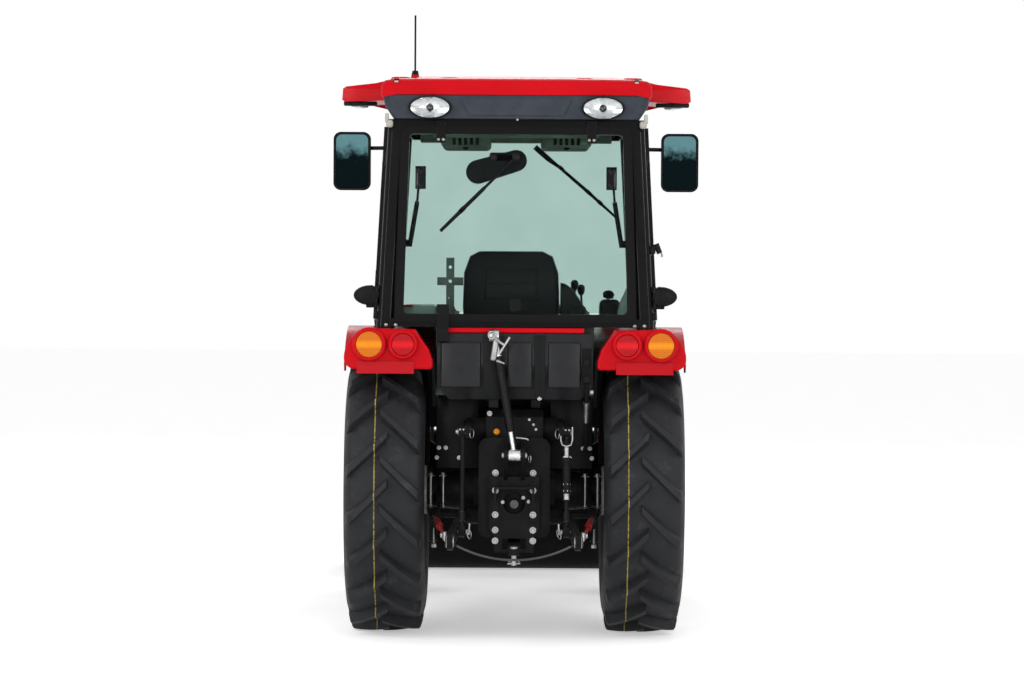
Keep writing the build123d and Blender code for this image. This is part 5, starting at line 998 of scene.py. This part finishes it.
def build_seat():
    channel_high = at(300, 600, 1800)
    across = [(at(0, y, 1200), Vector((0, 1, 0)), at(-150, 0, 1205), channel_high) for y in (150, 270)]
    sides = [(at(x, 200, 1200), Vector((1, 0, 0)), at(-300, 60, 1205), channel_high) for x in (-150, 150)]
    cushion = pad_piece("seat_cushion_pad", cushion_shape, seat_fabric, 0.024, across + sides)
    rows = [(at(0, 90, z), Vector((0, 0, 1)), at(-148, 66, 1240), channel_high) for z in (1330, 1420, 1510)]
    uprights = [(at(x, 90, 1400), Vector((1, 0, 0)), at(-300, 66, 1240), channel_high) for x in (-150, 150)]
    pad_piece("seat_back_pad", back_shape, seat_fabric, 0.022, rows + uprights)
    mesh = bmesh.new()
    # moulded shell behind the back cushion with its pocket
    sections = []
    for y, grow in ((2, -16), (10, -3), (26, 0), (44, -2)):
        outline = [
            (-218 - grow, 1172 - grow), (218 + grow, 1172 - grow), (231 + grow, 1400), (226 + grow, 1540),
            (198 + grow, 1612 + grow), (150, 1634 + grow), (-150, 1634 + grow), (-198 - grow, 1612 + grow),
            (-226 - grow, 1540), (-231 - grow, 1400),
        ]  # fmt: skip
        sections.append([seat_at(x, y, z) for x, z in outline])
    lofted(mesh, sections)
    # pocket: a frame, its floor and an open slot
    for x, z, w, h in ((0, 1556, 262, 10), (0, 1424, 262, 10), (-126, 1490, 10, 142), (126, 1490, 10, 142)):
        rounded_block(mesh, seat_at(x, 0, z), (0.9 * w, 14, h), 3)
    rounded_block(mesh, seat_at(0, 3, 1462), (216, 8, 66), 3)
    finish_piece("seat_back_shell", mesh, black_plastic)
    mesh = bmesh.new()
    # suspension: base plates and folded bellows
    rounded_block(mesh, at(0, 220, 1048), (310, 330, 14), 5)
    rounded_block(mesh, at(0, 220, 1146), (350, 370, 16), 6)
    for k in range(7):
        z = 1060 + k * 12.5
        size = 286 if k % 2 else 262
        rounded_block(mesh, at(0, 220, z), (size, size + 20, 12), 4)
    finish_piece("seat_suspension", mesh, soft_rubber)
    mesh = bmesh.new()
    # adjuster rails, height knob and recline levers
    for way in BOTH_SIDES:
        rounded_block(mesh, at(way * 120, 220, 1044), (26, 360, 8), 2)
        tube(mesh, eased([at(way * 196, 320, 1158), at(way * 196, 400, 1152), at(way * 206, 450, 1150)]), 5)
    turned(mesh, at(0, 440, 1126), (0, 1, 0), [(-40, 9), (0, 9), (0, 24), (22, 22), (26, 16), (26, 0)], steps=20)
    finish_piece("seat_rails", mesh, black_paint)
    pad_piece("right_armrest_pad", armrest_shape, seat_vinyl, 0.012)
    mesh = bmesh.new()
    turned(mesh, at(222, 42, 1352), (1, 0, 0), [(-10, 0), (-10, 26), (24, 26), (30, 20), (30, 0)], steps=24)
    rounded_block(mesh, at(250, 90, 1352), (22, 130, 30), 8)
    finish_piece("right_armrest_pivot", mesh, black_plastic)
    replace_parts(cushion, "seat")


def armrest_shape(mesh):
    """Right armrest, narrower at both ends."""
    sections = []
    for y, half, low, high in (
        (60, 20, 1366, 1392), (80, 25, 1360, 1398), (240, 27, 1362, 1402),
        (330, 24, 1366, 1400), (350, 17, 1374, 1394),
    ):  # fmt: skip
        sections.append([seat_at(252 + x, y, z) for x, z in rounded_outline(half, low, high, 10)])
    lofted(mesh, sections)


build_seat()


# ------------------------------------------------------------------ roof
REARWARD = (0, -1, 0)
LAMP_STEPS = 56
ROOF_LAMP_X, ROOF_LAMP_Z = 360, 2229.5


def roof_top(y):
    """Height of the roof's middle line, which falls to its rear and front edges."""
    reach = 720 if y < 250 else 840
    fall = 37 if y < 250 else 59
    return 2386 - fall * ((y - 250) / reach) ** 2


def roof_section(y, winged):
    """Half outline across the roof from the middle of its seat round to the middle of its top, in mm."""
    top = roof_top(y)
    if not winged:
        return [
            (0, 2282), (505, 2282), (528, 2279), (546, 2274), (558, 2272), (566, 2280), (564, 2318), (558, 2332),
            (546, min(2342, top - 8)), (515, min(2352, top - 3)), (400, top - 1), (200, top), (0, top),
        ]  # fmt: skip
    low = 2266 + 30 * (y + 120) / 1150
    half = 743 if y < 900 else 743 - 70 * (y - 900) / 130
    return [
        (0, 2282), (535, 2282), (556, 2278), (600, low + 4), (half - 12, low), (half, low + 8), (half - 4, 2322),
        (half - 18, 2331), (600, 2346), (556, min(2356, top - 8)), (400, top - 6), (200, top - 1), (0, top),
    ]  # fmt: skip


def build_roof():
    """Moulded roof with its side wings, light bars under them and low bosses over the rear edge."""
    mesh = bmesh.new()
    stations = [(y, False) for y in (-470, -458, -400, -250, -136)]
    stations += [(y, True) for y in (-122, -60, 200, 500, 780, 900, 1000, 1030)] + [(1044, False), (1090, False)]
    sections = []
    for y, winged in stations:
        half = roof_section(y, winged)
        if y in (-470, 1090):
            half = [(x * 0.985, z - 6 if z > 2330 else z + 2) for x, z in half]
        outline = half + [(-x, z) for x, z in reversed(half[1:-1])]
        sections.append([at(x, y, z) for x, z in outline])
    lofted(mesh, sections)
    for x in (-486, -283, 283, 486):
        boss = [(0, 0), (0, 44), (11, 38), (14, 22), (14, 0)]
        turned(mesh, at(x, -340, roof_top(-340) - 12), (0, 0, 1), boss, steps=28)
    roof = finish_piece("roof_moulding", mesh, red_paint, sharp=40)
    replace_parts(roof, "roof")
    mesh = bmesh.new()
    for side in BOTH_SIDES:
        rounded_block(mesh, at(side * 666, -84, 2259), (140, 66, 17), 3)
        rounded_block(mesh, at(side * 693, 330, 2270), (60, 640, 14), 4, turn=tilted(1.5, "X"))
        rounded_block(mesh, at(side * 500, -474, 2345), (22, 10, 6), 2)
    finish_piece("light_bars", mesh, black_plastic)
    mesh = bmesh.new()
    for side in BOTH_SIDES:
        for x in (622, 664, 706):
            rounded_block(mesh, at(side * x, -119, 2259), (8, 4, 9), 1)
        for y in (90, 210, 330, 450, 570):
            rounded_block(mesh, at(side * 693, y, 2262 + (y - 330) * 0.026), (34, 70, 4), 1)
    finish_piece("light_bar_cells", mesh, clear_lens)
    mesh = bmesh.new()
    # grey drain bosses at the lower corners of the fascia and the pale outlets above its ends
    for side in BOTH_SIDES:
        rounded_block(mesh, at(side * 529, -438, 2163), (30, 34, 32), 10)
        rounded_block(mesh, at(side * 540, -440, 2186), (16, 30, 40), 6)
        rounded_block(mesh, at(side * 500, -473, 2337), (16, 8, 8), 2)
    turned(mesh, at(4, -464, 2181), REARWARD, [(0, 0), (0, 5), (4, 4), (5, 0)], steps=12)
    finish_piece("fascia_bosses", mesh, boss_plastic)


# ------------------------------------------------------------------ lamps and mirrors
def oval_lamp(meshes, centre, way, across, rise, depth):
    """Black surround, silvered bowl, bulb holder and clear lens of a lamp that looks along way."""
    shell, bowl, bulb, lens = meshes
    stretch = rise / across
    rim = across - 7
    surround = [(0, across - 30), (0, across), (depth - 4, across), (depth, across - 3)]
    surround += [(depth, rim), (depth - 4, rim - 1), (3, across - 30)]
    dish = [(1, 0), (1, rim - 20), (depth - 6, rim), (depth - 5, rim - 1.5)]
    dish += [(depth * share, rim * reach) for share, reach in ((0.5, 0.78), (0.25, 0.45), (0.13, 0.2), (0.13, 0))]
    holder = [(0.1, 0.32), (0.3, 0.3), (0.4, 0.2), (0.6, 0.16), (0.66, 0)]
    cover = [(depth - 4, 0), (depth - 4, rim - 1.5), (depth - 2.5, rim - 1.5)]
    cover += [(depth - 0.6, rim * 0.7), (depth, rim * 0.3), (depth, 0)]
    turned(shell, centre, way, surround, LAMP_STEPS, True, stretch)
    turned(bowl, centre, way, dish, LAMP_STEPS, False, stretch)
    turned(bulb, centre, way, [(depth * share, rise * reach) for share, reach in holder], 24)
    turned(lens, centre, way, cover, LAMP_STEPS, False, stretch)


def side_lamp(mesh, side):
    """Egg-shaped marker lamp clamped to a rear post."""
    post = 578
    sections = []
    for y, grow in ((-361, -8), (-357, 0), (-330, 2), (-306, -6), (-300, -16)):
        outline = []
        for k in range(24):
            turn = 2 * math.pi * k / 24
            bulge = 72 if math.cos(turn) > 0 else 26
            outline.append((post + 29 + (bulge + grow) * math.cos(turn), 1445 + (41 + grow) * math.sin(turn)))
        sections.append([at(side * x, y, z) for x, z in outline])
    lofted(mesh, sections)
    for x in (post + 10, post + 24):
        rounded_block(mesh, at(side * x, -332, 1445), (6, 62, 84), 2)
    rounded_block(mesh, at(side * (post + 30), -330, 1400), (38, 40, 14), 4)
    rounded_block(mesh, at(side * (post + 8), -330, 1363), (18, 40, 32), 4)
    button = [(0, 0), (0, 17), (2, 15), (2, 7), (4, 6), (4, 0)]
    turned(mesh, at(side * (post + 46), -361, 1442), REARWARD, button, steps=24)


def build_lamps():
    meshes = [bmesh.new() for _ in range(4)]
    for x in (-ROOF_LAMP_X, ROOF_LAMP_X):
        oval_lamp(meshes, at(x, -464.3, ROOF_LAMP_Z), REARWARD, 90, 48, 30)
        oval_lamp(meshes, at(x, 1070.3, ROOF_LAMP_Z), (0, 1, 0), 90, 48, 30)
    shell, bowl, bulb, lens = meshes
    for side in BOTH_SIDES:
        side_lamp(shell, side)
    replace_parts(finish_piece("lamp_bodies", shell, black_plastic), "lamps")
    finish_piece("lamp_bowls", bowl, reflector_chrome, sharp=60)
    finish_piece("lamp_bulbs", bulb, greased_steel)
    finish_piece("lamp_lenses", lens, clear_lens)
    meshes = [bmesh.new() for _ in range(4)]
    for x in (-170, 170):
        oval_lamp(meshes, at(x, 2244, 1099), (0, 1, 0), 50, 50, 16)
    looks = (
        ("bodies", black_plastic, "black_plastic"), ("bowls", reflector_chrome, "steel"),
        ("bulbs", greased_steel, "steel"), ("lenses", clear_lens, "glass"),
    )  # fmt: skip
    for mesh, (part, finish, slot) in zip(meshes, looks):
        finish_piece(f"headlamp_{part}", mesh, finish, body="hood", sharp=50)
    mesh = bmesh.new()
    for side in BOTH_SIDES:
        for offset, radius in ((608, 55), (467, 47)):
            rim = [(17, 16), (22, 16), (29, 10), (30, 5), (27, 1), (17, 1)]
            rim = [(along, radius + more) for along, more in rim]
            turned(mesh, at(side * offset, -480, 1243), REARWARD, rim, LAMP_STEPS, True)
    finish_piece("tail_lamp_rims", mesh, red_paint, sharp=50)
    mesh = bmesh.new()
    # socket for a beacon on the right post
    tube(mesh, [at(590, -330, 1668), at(606, -330, 1628)], [12, 12], 20)
    rounded_block(mesh, at(576, -330, 1642), (24, 22, 34), 5)
    finish_piece("beacon_socket", mesh, black_plastic)
    mesh = bmesh.new()
    tube(mesh, [at(606.5, -330, 1627), at(611, -330, 1616), at(613, -330, 1611)], [9, 9, 5], 20)
    finish_piece("beacon_socket_cap", mesh, clear_lens)


def build_mirror_glass():
    mesh = bmesh.new()
    for side in BOTH_SIDES:
        sections = []
        for y, inset in ((936, 1), (938, 0), (948, 0)):
            outline = rounded_outline(74 - inset, 1918 + inset, 2162 - inset, 25)
            sections.append([at(side * 748 + x, y, z) for x, z in outline])
        lofted(mesh, sections)
    finish_piece("mirror_glasses", mesh, mirror_painted_reflection)


# ------------------------------------------------------------------ window fittings, vents and wipers
def cap(mesh, foot, way, radius, height):
    """Domed cap over a bolt."""
    dome = [(0, 1), (0.5, 0.94), (0.85, 0.6), (1, 0)]
    turned(mesh, foot, way, [(height * rise, radius * reach) for rise, reach in dome], steps=24)


def build_window_trim():
    mesh = bmesh.new()
    for side in BOTH_SIDES:
        for z in (1906, 1965):
            cap(mesh, at(side * 400, -387.3, z), REARWARD, 15, 9)
        rounded_block(mesh, at(side * 400, -389, 1936), (34, 4, 88), 1.5)
    # squared upper corner of the wiper motor's cover and two domed caps on it
    rounded_block(mesh, at(-60, -366, 2024), (104, 30, 46), 10)
    cap(mesh, at(0, -413, 2028), REARWARD, 19, 8)
    cap(mesh, at(-96, -385, 2027), REARWARD, 17, 8)
    finish_piece("window_caps", mesh, black_gloss)
    mesh = bmesh.new()
    for side in BOTH_SIDES:
        for x in (305, 325):
            cap(mesh, at(side * x, -406.2, 2099), REARWARD, 6, 4)
        for x in (501, 542):
            cap(mesh, at(side * x, -372, 1321), REARWARD, 8, 5)
    for x in (-16, 0):
        cap(mesh, at(x, -8, 1405), REARWARD, 5, 5)
    finish_piece("window_bolts", mesh, zinc)
    mesh = bmesh.new()
    # rubber blade and its carrier outside the rear glass
    for wide in (3, 8):
        start, end = at(-132, -392, 1898), at(-316, -392, 1716)
        tube(mesh, [start, start.lerp(end, 0.5), end], [wide, wide + 0.6, wide - 1], 8)
    rounded_block(mesh, at(-225, -400, 1806), (30, 14, 20), 4, turn=tilted(-45, "Y"))
    # front wiper, seen through the cab
    def screen(x, z):
        return at(x, 930.5 - 40 * (z - 882) / 1303 + 8, z)
    tube(mesh, [screen(86, 2108), screen(150, 2052), screen(196, 2018)], [13, 12, 7], 10)
    tube(mesh, [screen(196, 2018), screen(330, 1904), screen(470, 1778)], [7, 8, 5], 8)
    for x, z in ((206, 2012), (330, 1904), (384, 1856)):
        rounded_block(mesh, screen(x, z), (26, 12, 18), 4, turn=tilted(41, "Y"))
    finish_piece("wiper_blades", mesh, soft_rubber)
    mesh = bmesh.new()
    # lowered vent boxes under the headliner, each with five slots and a knob
    for side in BOTH_SIDES:
        x = side * 218
        rounded_block(mesh, at(x, 330, 2106), (216, 560, 54), 22, segments=4)
    rounded_block(mesh, at(0, -266, 2128), (700, 20, 34), 8)
    finish_piece("vent_boxes", mesh, headliner_board)
    mesh = bmesh.new()
    for side in BOTH_SIDES:
        for k in range(5):
            rounded_block(mesh, at(side * 218 + (k - 2) * 25, 49, 2107), (14, 6, 34), 3)
        turned(mesh, at(side * 218, 60, 2081), (0, 0, -1), [(0, 12), (8, 12), (11, 9), (11, 0)], steps=20)
    finish_piece("vent_slots", mesh, black_plastic)


def build_post_covers():
    """Gently crowned covers down the rear posts."""
    mesh = bmesh.new()
    for side in BOTH_SIDES:
        sections = []
        for z in (1345, 1350, 1700, 2100, 2150):
            middle = 583 - 47 * (z - 1315) / 866 - 36
            inset = 4 if z in (1345, 2150) else 0
            outline = [(-27 + inset, 4), (27 - inset, 4)]
            turns = [math.radians(degrees) for degrees in range(0, 181, 20)]
            outline += [((27 - inset) * math.cos(turn), -4.2 * math.sin(turn)) for turn in turns]
            sections.append([at(side * (middle + x), -330.5 + y, z) for x, y in outline])
        lofted(mesh, sections)
    finish_piece("rear_post_covers", mesh, post_gloss, sharp=50)


# ------------------------------------------------------------------ hitch fittings
def ring(mesh, centre, way, radius, wire):
    """A closed wire ring about a direction."""
    profile = [(wire * math.cos(t), radius + wire * math.sin(t)) for t in (2 * math.pi * k / 8 for k in range(8))]
    turned(mesh, centre, way, profile, 28, True)


def build_casting_bolts():
    """Bolts of the hitch casting, axle trumpets and lift cover."""
    bolts = []
    for side in BOTH_SIDES:
        # two columns down the casting, on its raised strips between heights 500 and 676
        bolts += [(at(side * 79, -430 if 500 < z < 676 else -422, z), REARWARD, 15) for z in (633, 531, 466, 421)]
        bolts += [(at(side * 79, -381, 703), REARWARD, 15)]
        trumpet = ((322, 793), (293, 793), (236, 751), (331, 751))
        bolts += [(at(side * x, -128, z), REARWARD, 10) for x, z in trumpet]
        for turn in (0.5, 1.6, 2.7, 3.7, 4.7, 5.8):
            flange = at(side * 372.2, 95 * math.cos(turn), 605 + 95 * math.sin(turn))
            bolts.append((flange, (side, 0, 0), 16))
    for x, y, z, across in (
        (-48, -422, 583, 8), (38, -422, 602, 8), (60, -422, 586, 8), (-105, -331, 950, 12), (62, -331, 925, 6),
        (80, -331, 904, 6), (90, -331, 884, 6), (103, -422, 1020, 11), (324, -332, 1042, 9),
    ):  # fmt: skip
        bolts.append((at(x, y, z), REARWARD, across))
    bolt_set("hitch_casting_bolts", zinc, "root", bolts)


def build_hitch_fittings():
    mesh = bmesh.new()
    # clamp bolts round the axle trumpets, hanging stops and the pin of the top link
    for side in BOTH_SIDES:
        for x in (303, 356):
            tube(mesh, [at(side * x, -132, 548), at(side * x, -132, 672)], 6, 16)
            hex_bolt(mesh, at(side * x, -132, 672), (0, 0, 1), 21)
            hex_bolt(mesh, at(side * x, -132, 548), (0, 0, -1), 17)
        rounded_block(mesh, at(side * 342, -170, 379), (25, 24, 18), 4)
        tube(mesh, [at(side * 342, -170, 388), at(side * 342, -170, 452)], [7, 4], 12)
        turned(mesh, at(0, -470, 782), (side, 0, 0), [(26, 0), (26, 12.6), (52, 12.6), (54, 10), (54, 0)], steps=24)
    ring(mesh, at(64, -470, 768), (1, 0.3, 0), 17, 2.2)
    tube(mesh, [at(6, -476, 857), at(52, -478, 852), at(58, -478, 846)], 3.5, 10)
    # drawbar pin with its clip
    tube(mesh, [at(0, -720, 345), at(0, -720, 418)], 11, 20)
    turned(mesh, at(0, -720, 414), (0, 0, 1), [(0, 0), (0, 17), (7, 17), (10, 12), (10, 0)], steps=24)
    tube(mesh, [at(-26, -722, 352), at(26, -722, 354)], 4, 10)
    ring(mesh, at(0, -722, 362), (0.15, 0.4, 1), 22, 2.4)
    # screwed joint of the return pipe
    for low, high, radius in ((0, 18, 13), (18, 24, 9), (24, 60, 11.5), (62, 66, 9), (66, 96, 10.5)):
        start, end = at(300, -408.5, 1003), at(300, -364, 919)
        way = (end - start).normalized()
        tube(mesh, [start + way * low * MM, start + way * high * MM], radius, 20)
    finish_piece("hitch_fittings", mesh, zinc, sharp=50)
    mesh = bmesh.new()
    cap(mesh, at(-75, -330.5, 873), REARWARD, 14, 16)
    finish_piece("breather_cap", mesh, orange_plastic)
    mesh = bmesh.new()
    # flat black sheets between the gearcase and the fenders, painted shade standing in for the shaded parts behind
    # them; dark strips down the channels between the panels of the tank, and the panels themselves
    for side in BOTH_SIDES:
        rounded_block(mesh, at(side * 243, -123, 856), (180, 5, 300), 2)
    for x, width in ((-88, 88), (104, 46)):
        rounded_block(mesh, at(x, -421, 1150), (width, 6, 262), 2)
    finish_piece("dark_fill_sheets", mesh, black_plastic)
    mesh = bmesh.new()
    for low, high in ((-312, -142), (-32, 72), (138, 276)):
        rounded_block(mesh, at((low + high) / 2, -419, 1158), (high - low, 18, 192), 8, segments=4)
    finish_piece("tank_panels", mesh, tank_plastic)


def build_link_fittings():
    mesh = bmesh.new()
    for side in BOTH_SIDES:
        ball = [(-17.5, 11.6), (-17.5, 19), (-15.2, 24.4), (15.2, 24.4), (17.5, 19), (17.5, 11.6)]
        turned(mesh, at(side * 262, -870, 454), (side, -0.08, 0), ball, 36, True)
        rounded_block(mesh, at(side * 282, -700, 462), (14, 42, 38), 4)
        hex_bolt(mesh, at(side * 290, -700, 466), (side, 0, 0), 18)
        tube(mesh, [at(side * 296, -640, 474), at(side * 288, -690, 464)], 7, 14)
        # pin of the lift rod's foot with its linch pin
        for way in BOTH_SIDES:
            head = [(0, 10), (5, 10), (7, 7), (7, 0)]
            turned(mesh, at(side * 216 + way * 17, -610, 474.5), (way, 0, 0), head, steps=20)
        ring(mesh, at(side * 186, -612, 466), (1, 0.4 * side, 0.2), 20, 2.6)
        tube(mesh, [at(side * 184, -618, 508), at(side * 187, -622, 462)], 4, 10)
    finish_piece("link_balls", mesh, zinc, body="lower_links", sharp=50)
    mesh = bmesh.new()
    for side in BOTH_SIDES:
        hex_bolt(mesh, at(side * 233.5, -530, 883), (side, 0, 0), 16)
        for x in (212, 226):
            cap(mesh, at(side * x, -556, 893), (0, -1, 0.2), 5, 6)
        ring(mesh, at(side * 178, -536, 876), (1, 0.45 * side, 0), 19, 2.6)
    finish_piece("lift_arm_pins", mesh, zinc, body="lift_arms", sharp=50)
    mesh = bmesh.new()
    head, foot = at(216, -530, 883), at(216, -610, 474.5)
    way = foot - head
    # plated neck, nut, lower screw and two lock rings, as shares of the way from head to foot
    for low, high, radius in (
        (0.15, 0.25, 10), (0.245, 0.285, 18), (0.62, 0.68, 12.5), (0.52, 0.53, 18), (0.585, 0.6, 18),
    ):  # fmt: skip
        tube(mesh, [head + way * low, head + way * high], radius, 6 if radius == 18 else 20)
    clevis = [(-24, 905, -524), (-24, 850, -540), (-18, 832, -548), (0, 826, -552)]
    clevis += [(-x, z, y) for x, z, y in reversed(clevis[:-1])]
    tube(mesh, [at(216 + x, y - 14, z) for x, z, y in clevis], 3.6, 10)
    finish_piece("lift_rod_fittings", mesh, zinc, body="lift_rods", sharp=50)
    mesh = bmesh.new()
    tube(mesh, eased([at(-92, -494, 1286), at(-72, -502, 1262), at(-40, -504, 1240)], 4), 6, 12)
    tube(mesh, [at(-22, -506, 1276), at(-66, -506, 1205)], 5, 12)
    tube(mesh, [at(-76, -494, 1178), at(-44, -498, 1166)], [7, 4], 12)
    rounded_block(mesh, at(-84, -478, 1226), (26, 30, 100), 8, turn=tilted(9, "Y"))
    ring(mesh, at(-97, -500, 1284), (0.3, 1, 0), 15, 4)
    finish_piece("top_link_handle", mesh, zinc, body="top_link", sharp=50)


# ------------------------------------------------------------------ cab inside
def build_cab_inside():
    mesh = bmesh.new()
    # fender trims seen over the window's lower edge
    rounded_block(mesh, at(-408, -120, 1362), (146, 330, 82), 16, segments=4)
    line = eased([at(x, -240, z) for x, z in ((498, 1528), (486, 1460), (470, 1400), (464, 1330))], 5)
    tube(mesh, line, [6, 10, 14, 18, 22, 24, 26, 28, 30, 31, 32, 33, 34, 34, 34, 34], 16)
    finish_piece("fender_trims", mesh, sill_plastic)
    mesh = bmesh.new()
    sections = []
    for y, grow in ((-30, -12), (-16, 0), (220, 0), (250, -10)):
        outline = [(196, 1345), (196, 1498), (216, 1494), (246, 1474), (276, 1430), (296, 1386), (306, 1345)]
        sections.append([at(x - 0.3 * grow, y, z + grow) for x, z in outline])
    lofted(mesh, sections)
    rounded_block(mesh, at(-310, -110, 1369), (50, 110, 64), 8)
    rounded_block(mesh, at(408, 60, 1382), (88, 130, 92), 22, segments=4)
    turned(mesh, at(402, 100, 1430), (0.1, 0, 1), [(-40, 7), (0, 7), (4, 22), (22, 26), (34, 16), (38, 0)], steps=24)
    rounded_block(mesh, at(258, -40, 1372), (62, 20, 54), 8)
    # pedals and floor mat
    for x in (-150, 110, 190):
        rounded_block(mesh, at(x, 690, 940), (76, 14, 86), 5, turn=tilted(-35, "X"))
        tube(mesh, [at(x, 700, 950), at(x, 735, 1080)], 7, 12)
    rounded_block(mesh, at(0, 580, 887), (620, 380, 8), 3)
    for k in range(14):
        rounded_block(mesh, at(0, 420 + 24 * k, 892.5), (580, 8, 5), 2)
    # gear levers with their boots
    for x, y, tall in ((262, 180, 1470), (292, 250, 1450), (-280, 220, 1440)):
        turned(mesh, at(x, y, 1366), (0, 0, 1), [(0, 26), (10, 24), (14, 18), (22, 18), (26, 12), (34, 6)], steps=20)
        tube(mesh, [at(x, y, 1380), at(x - 4, y + 6, tall)], 5, 12)
        knob = [(0, 0), (0, 9), (14, 16), (34, 17), (44, 10), (47, 0)]
        turned(mesh, at(x - 4, y + 6, tall - 6), (0, 0.1, 1), knob, steps=20)
    finish_piece("cab_controls", mesh, black_plastic)
    mesh = bmesh.new()
    turned(mesh, at(292, -44, 1353), REARWARD, [(0, 0), (0, 7), (10, 8), (14, 5), (15, 0)], steps=20)
    finish_piece("power_take_off_knob", mesh, yellow_plastic)
    mesh = bmesh.new()
    rounded_block(mesh, at(-452, -300, 1400), (42, 14, 10), 3)
    finish_piece("belt_anchor", mesh, red_links)
    mesh = bmesh.new()
    # instrument cowl and dial faces
    rounded_block(mesh, at(0, 760, 1388), (280, 60, 110), 22, turn=tilted(-24, "X"), segments=4)
    finish_piece("instrument_cowl", mesh, trim_plastic)
    mesh = bmesh.new()
    for x, radius in ((-70, 38), (70, 38), (0, 24)):
        face = [(0, 0), (0, radius), (4, radius), (6, radius - 4), (4, radius - 6), (4, 0)]
        turned(mesh, at(x, 722, 1404), (0, -0.92, 0.38), face, steps=32)
    finish_piece("dials", mesh, greased_steel)


# ------------------------------------------------------------------ wheels, loader and hood fittings
def wheel_nuts(end, label, side, offset, axle, radius, count, across):
    """Nuts in a circle on a rim's stud face, offset in mm from the middle of the machine."""
    nuts = []
    for k in range(count):
        turn = 2 * math.pi * k / count
        y, z = axle[0] + radius * MM * math.cos(turn), axle[1] + radius * MM * math.sin(turn)
        nuts.append((Vector((side * offset * MM, y, z)), (side, 0, 0), across))
    bolt_set(f"{end}_wheel_nuts_{label}", zinc, f"{end}_wheel_{label}", nuts)


def build_side_details():
    for label, side in HANDS:
        wheel_nuts("rear", label, side, 464.3, (REAR_AXLE_Y, REAR_AXLE_Z), 102, 8, 24)
        wheel_nuts("front", label, side, 584.3, (FRONT_AXLE_Y, FRONT_AXLE_Z), 77, 6, 20)
    pins = []
    for side in BOTH_SIDES:
        pins += [(at(side * 474.5, 1040, 1340), (side, 0, 0), 34)]
        pins += [(at(side * 464.5, y, z), (side, 0, 0), 20) for y, z in ((1010, 600), (1100, 600))]
    bolt_set("loader_mount_bolts", zinc, "root", pins)
    mesh = bmesh.new()
    for k in range(9):
        rounded_block(mesh, at(0, 2262, 770 + 29 * k), (400, 10, 11), 4)
    finish_piece("grille_slats", mesh, black_plastic, body="hood")


BOOM_X = 430
BOOM_CYLINDER = ((1138, 640), (1820.45, 1030.275))  # foot and head pins, (y, z) in mm
BUCKET_CYLINDER = ((2352, 1160), (2695, 440))


def build_rod_tails():
    """The part of each loader rod that stays hidden in its barrel, and the boom barrels' gland ends."""
    for name, body, (foot, head), start, end in (
        ("boom_rod_tails", "boom_rods", BOOM_CYLINDER, 64, 400),
        ("bucket_rod_tails", "bucket_rods", BUCKET_CYLINDER, 124, 372),
    ):
        way = (at(0, *head) - at(0, *foot)).normalized()
        mesh = bmesh.new()
        for side in BOTH_SIDES:
            tail = [(start, 0), (start, 14), (start + 2, 15.6), (end, 15.6), (end, 0)]
            turned(mesh, at(side * BOOM_X, *foot), way, tail, 32)
        finish_piece(name, mesh, chrome, body=body)
    foot, head = BOOM_CYLINDER
    way = (at(0, *head) - at(0, *foot)).normalized()
    mesh = bmesh.new()
    for side in BOTH_SIDES:
        gland = [(560, 16.3), (560, 30), (585, 30), (587, 28), (733, 28), (735, 26), (735, 16.3)]
        turned(mesh, at(side * BOOM_X, *foot), way, gland, 40, True)
    finish_piece("boom_barrel_glands", mesh, black_paint, body="boom_barrels")


build_rod_tails()
build_roof()
build_lamps()
build_mirror_glass()
build_window_trim()
build_post_covers()
build_casting_bolts()
build_hitch_fittings()
build_link_fittings()
build_cab_inside()
build_side_details()
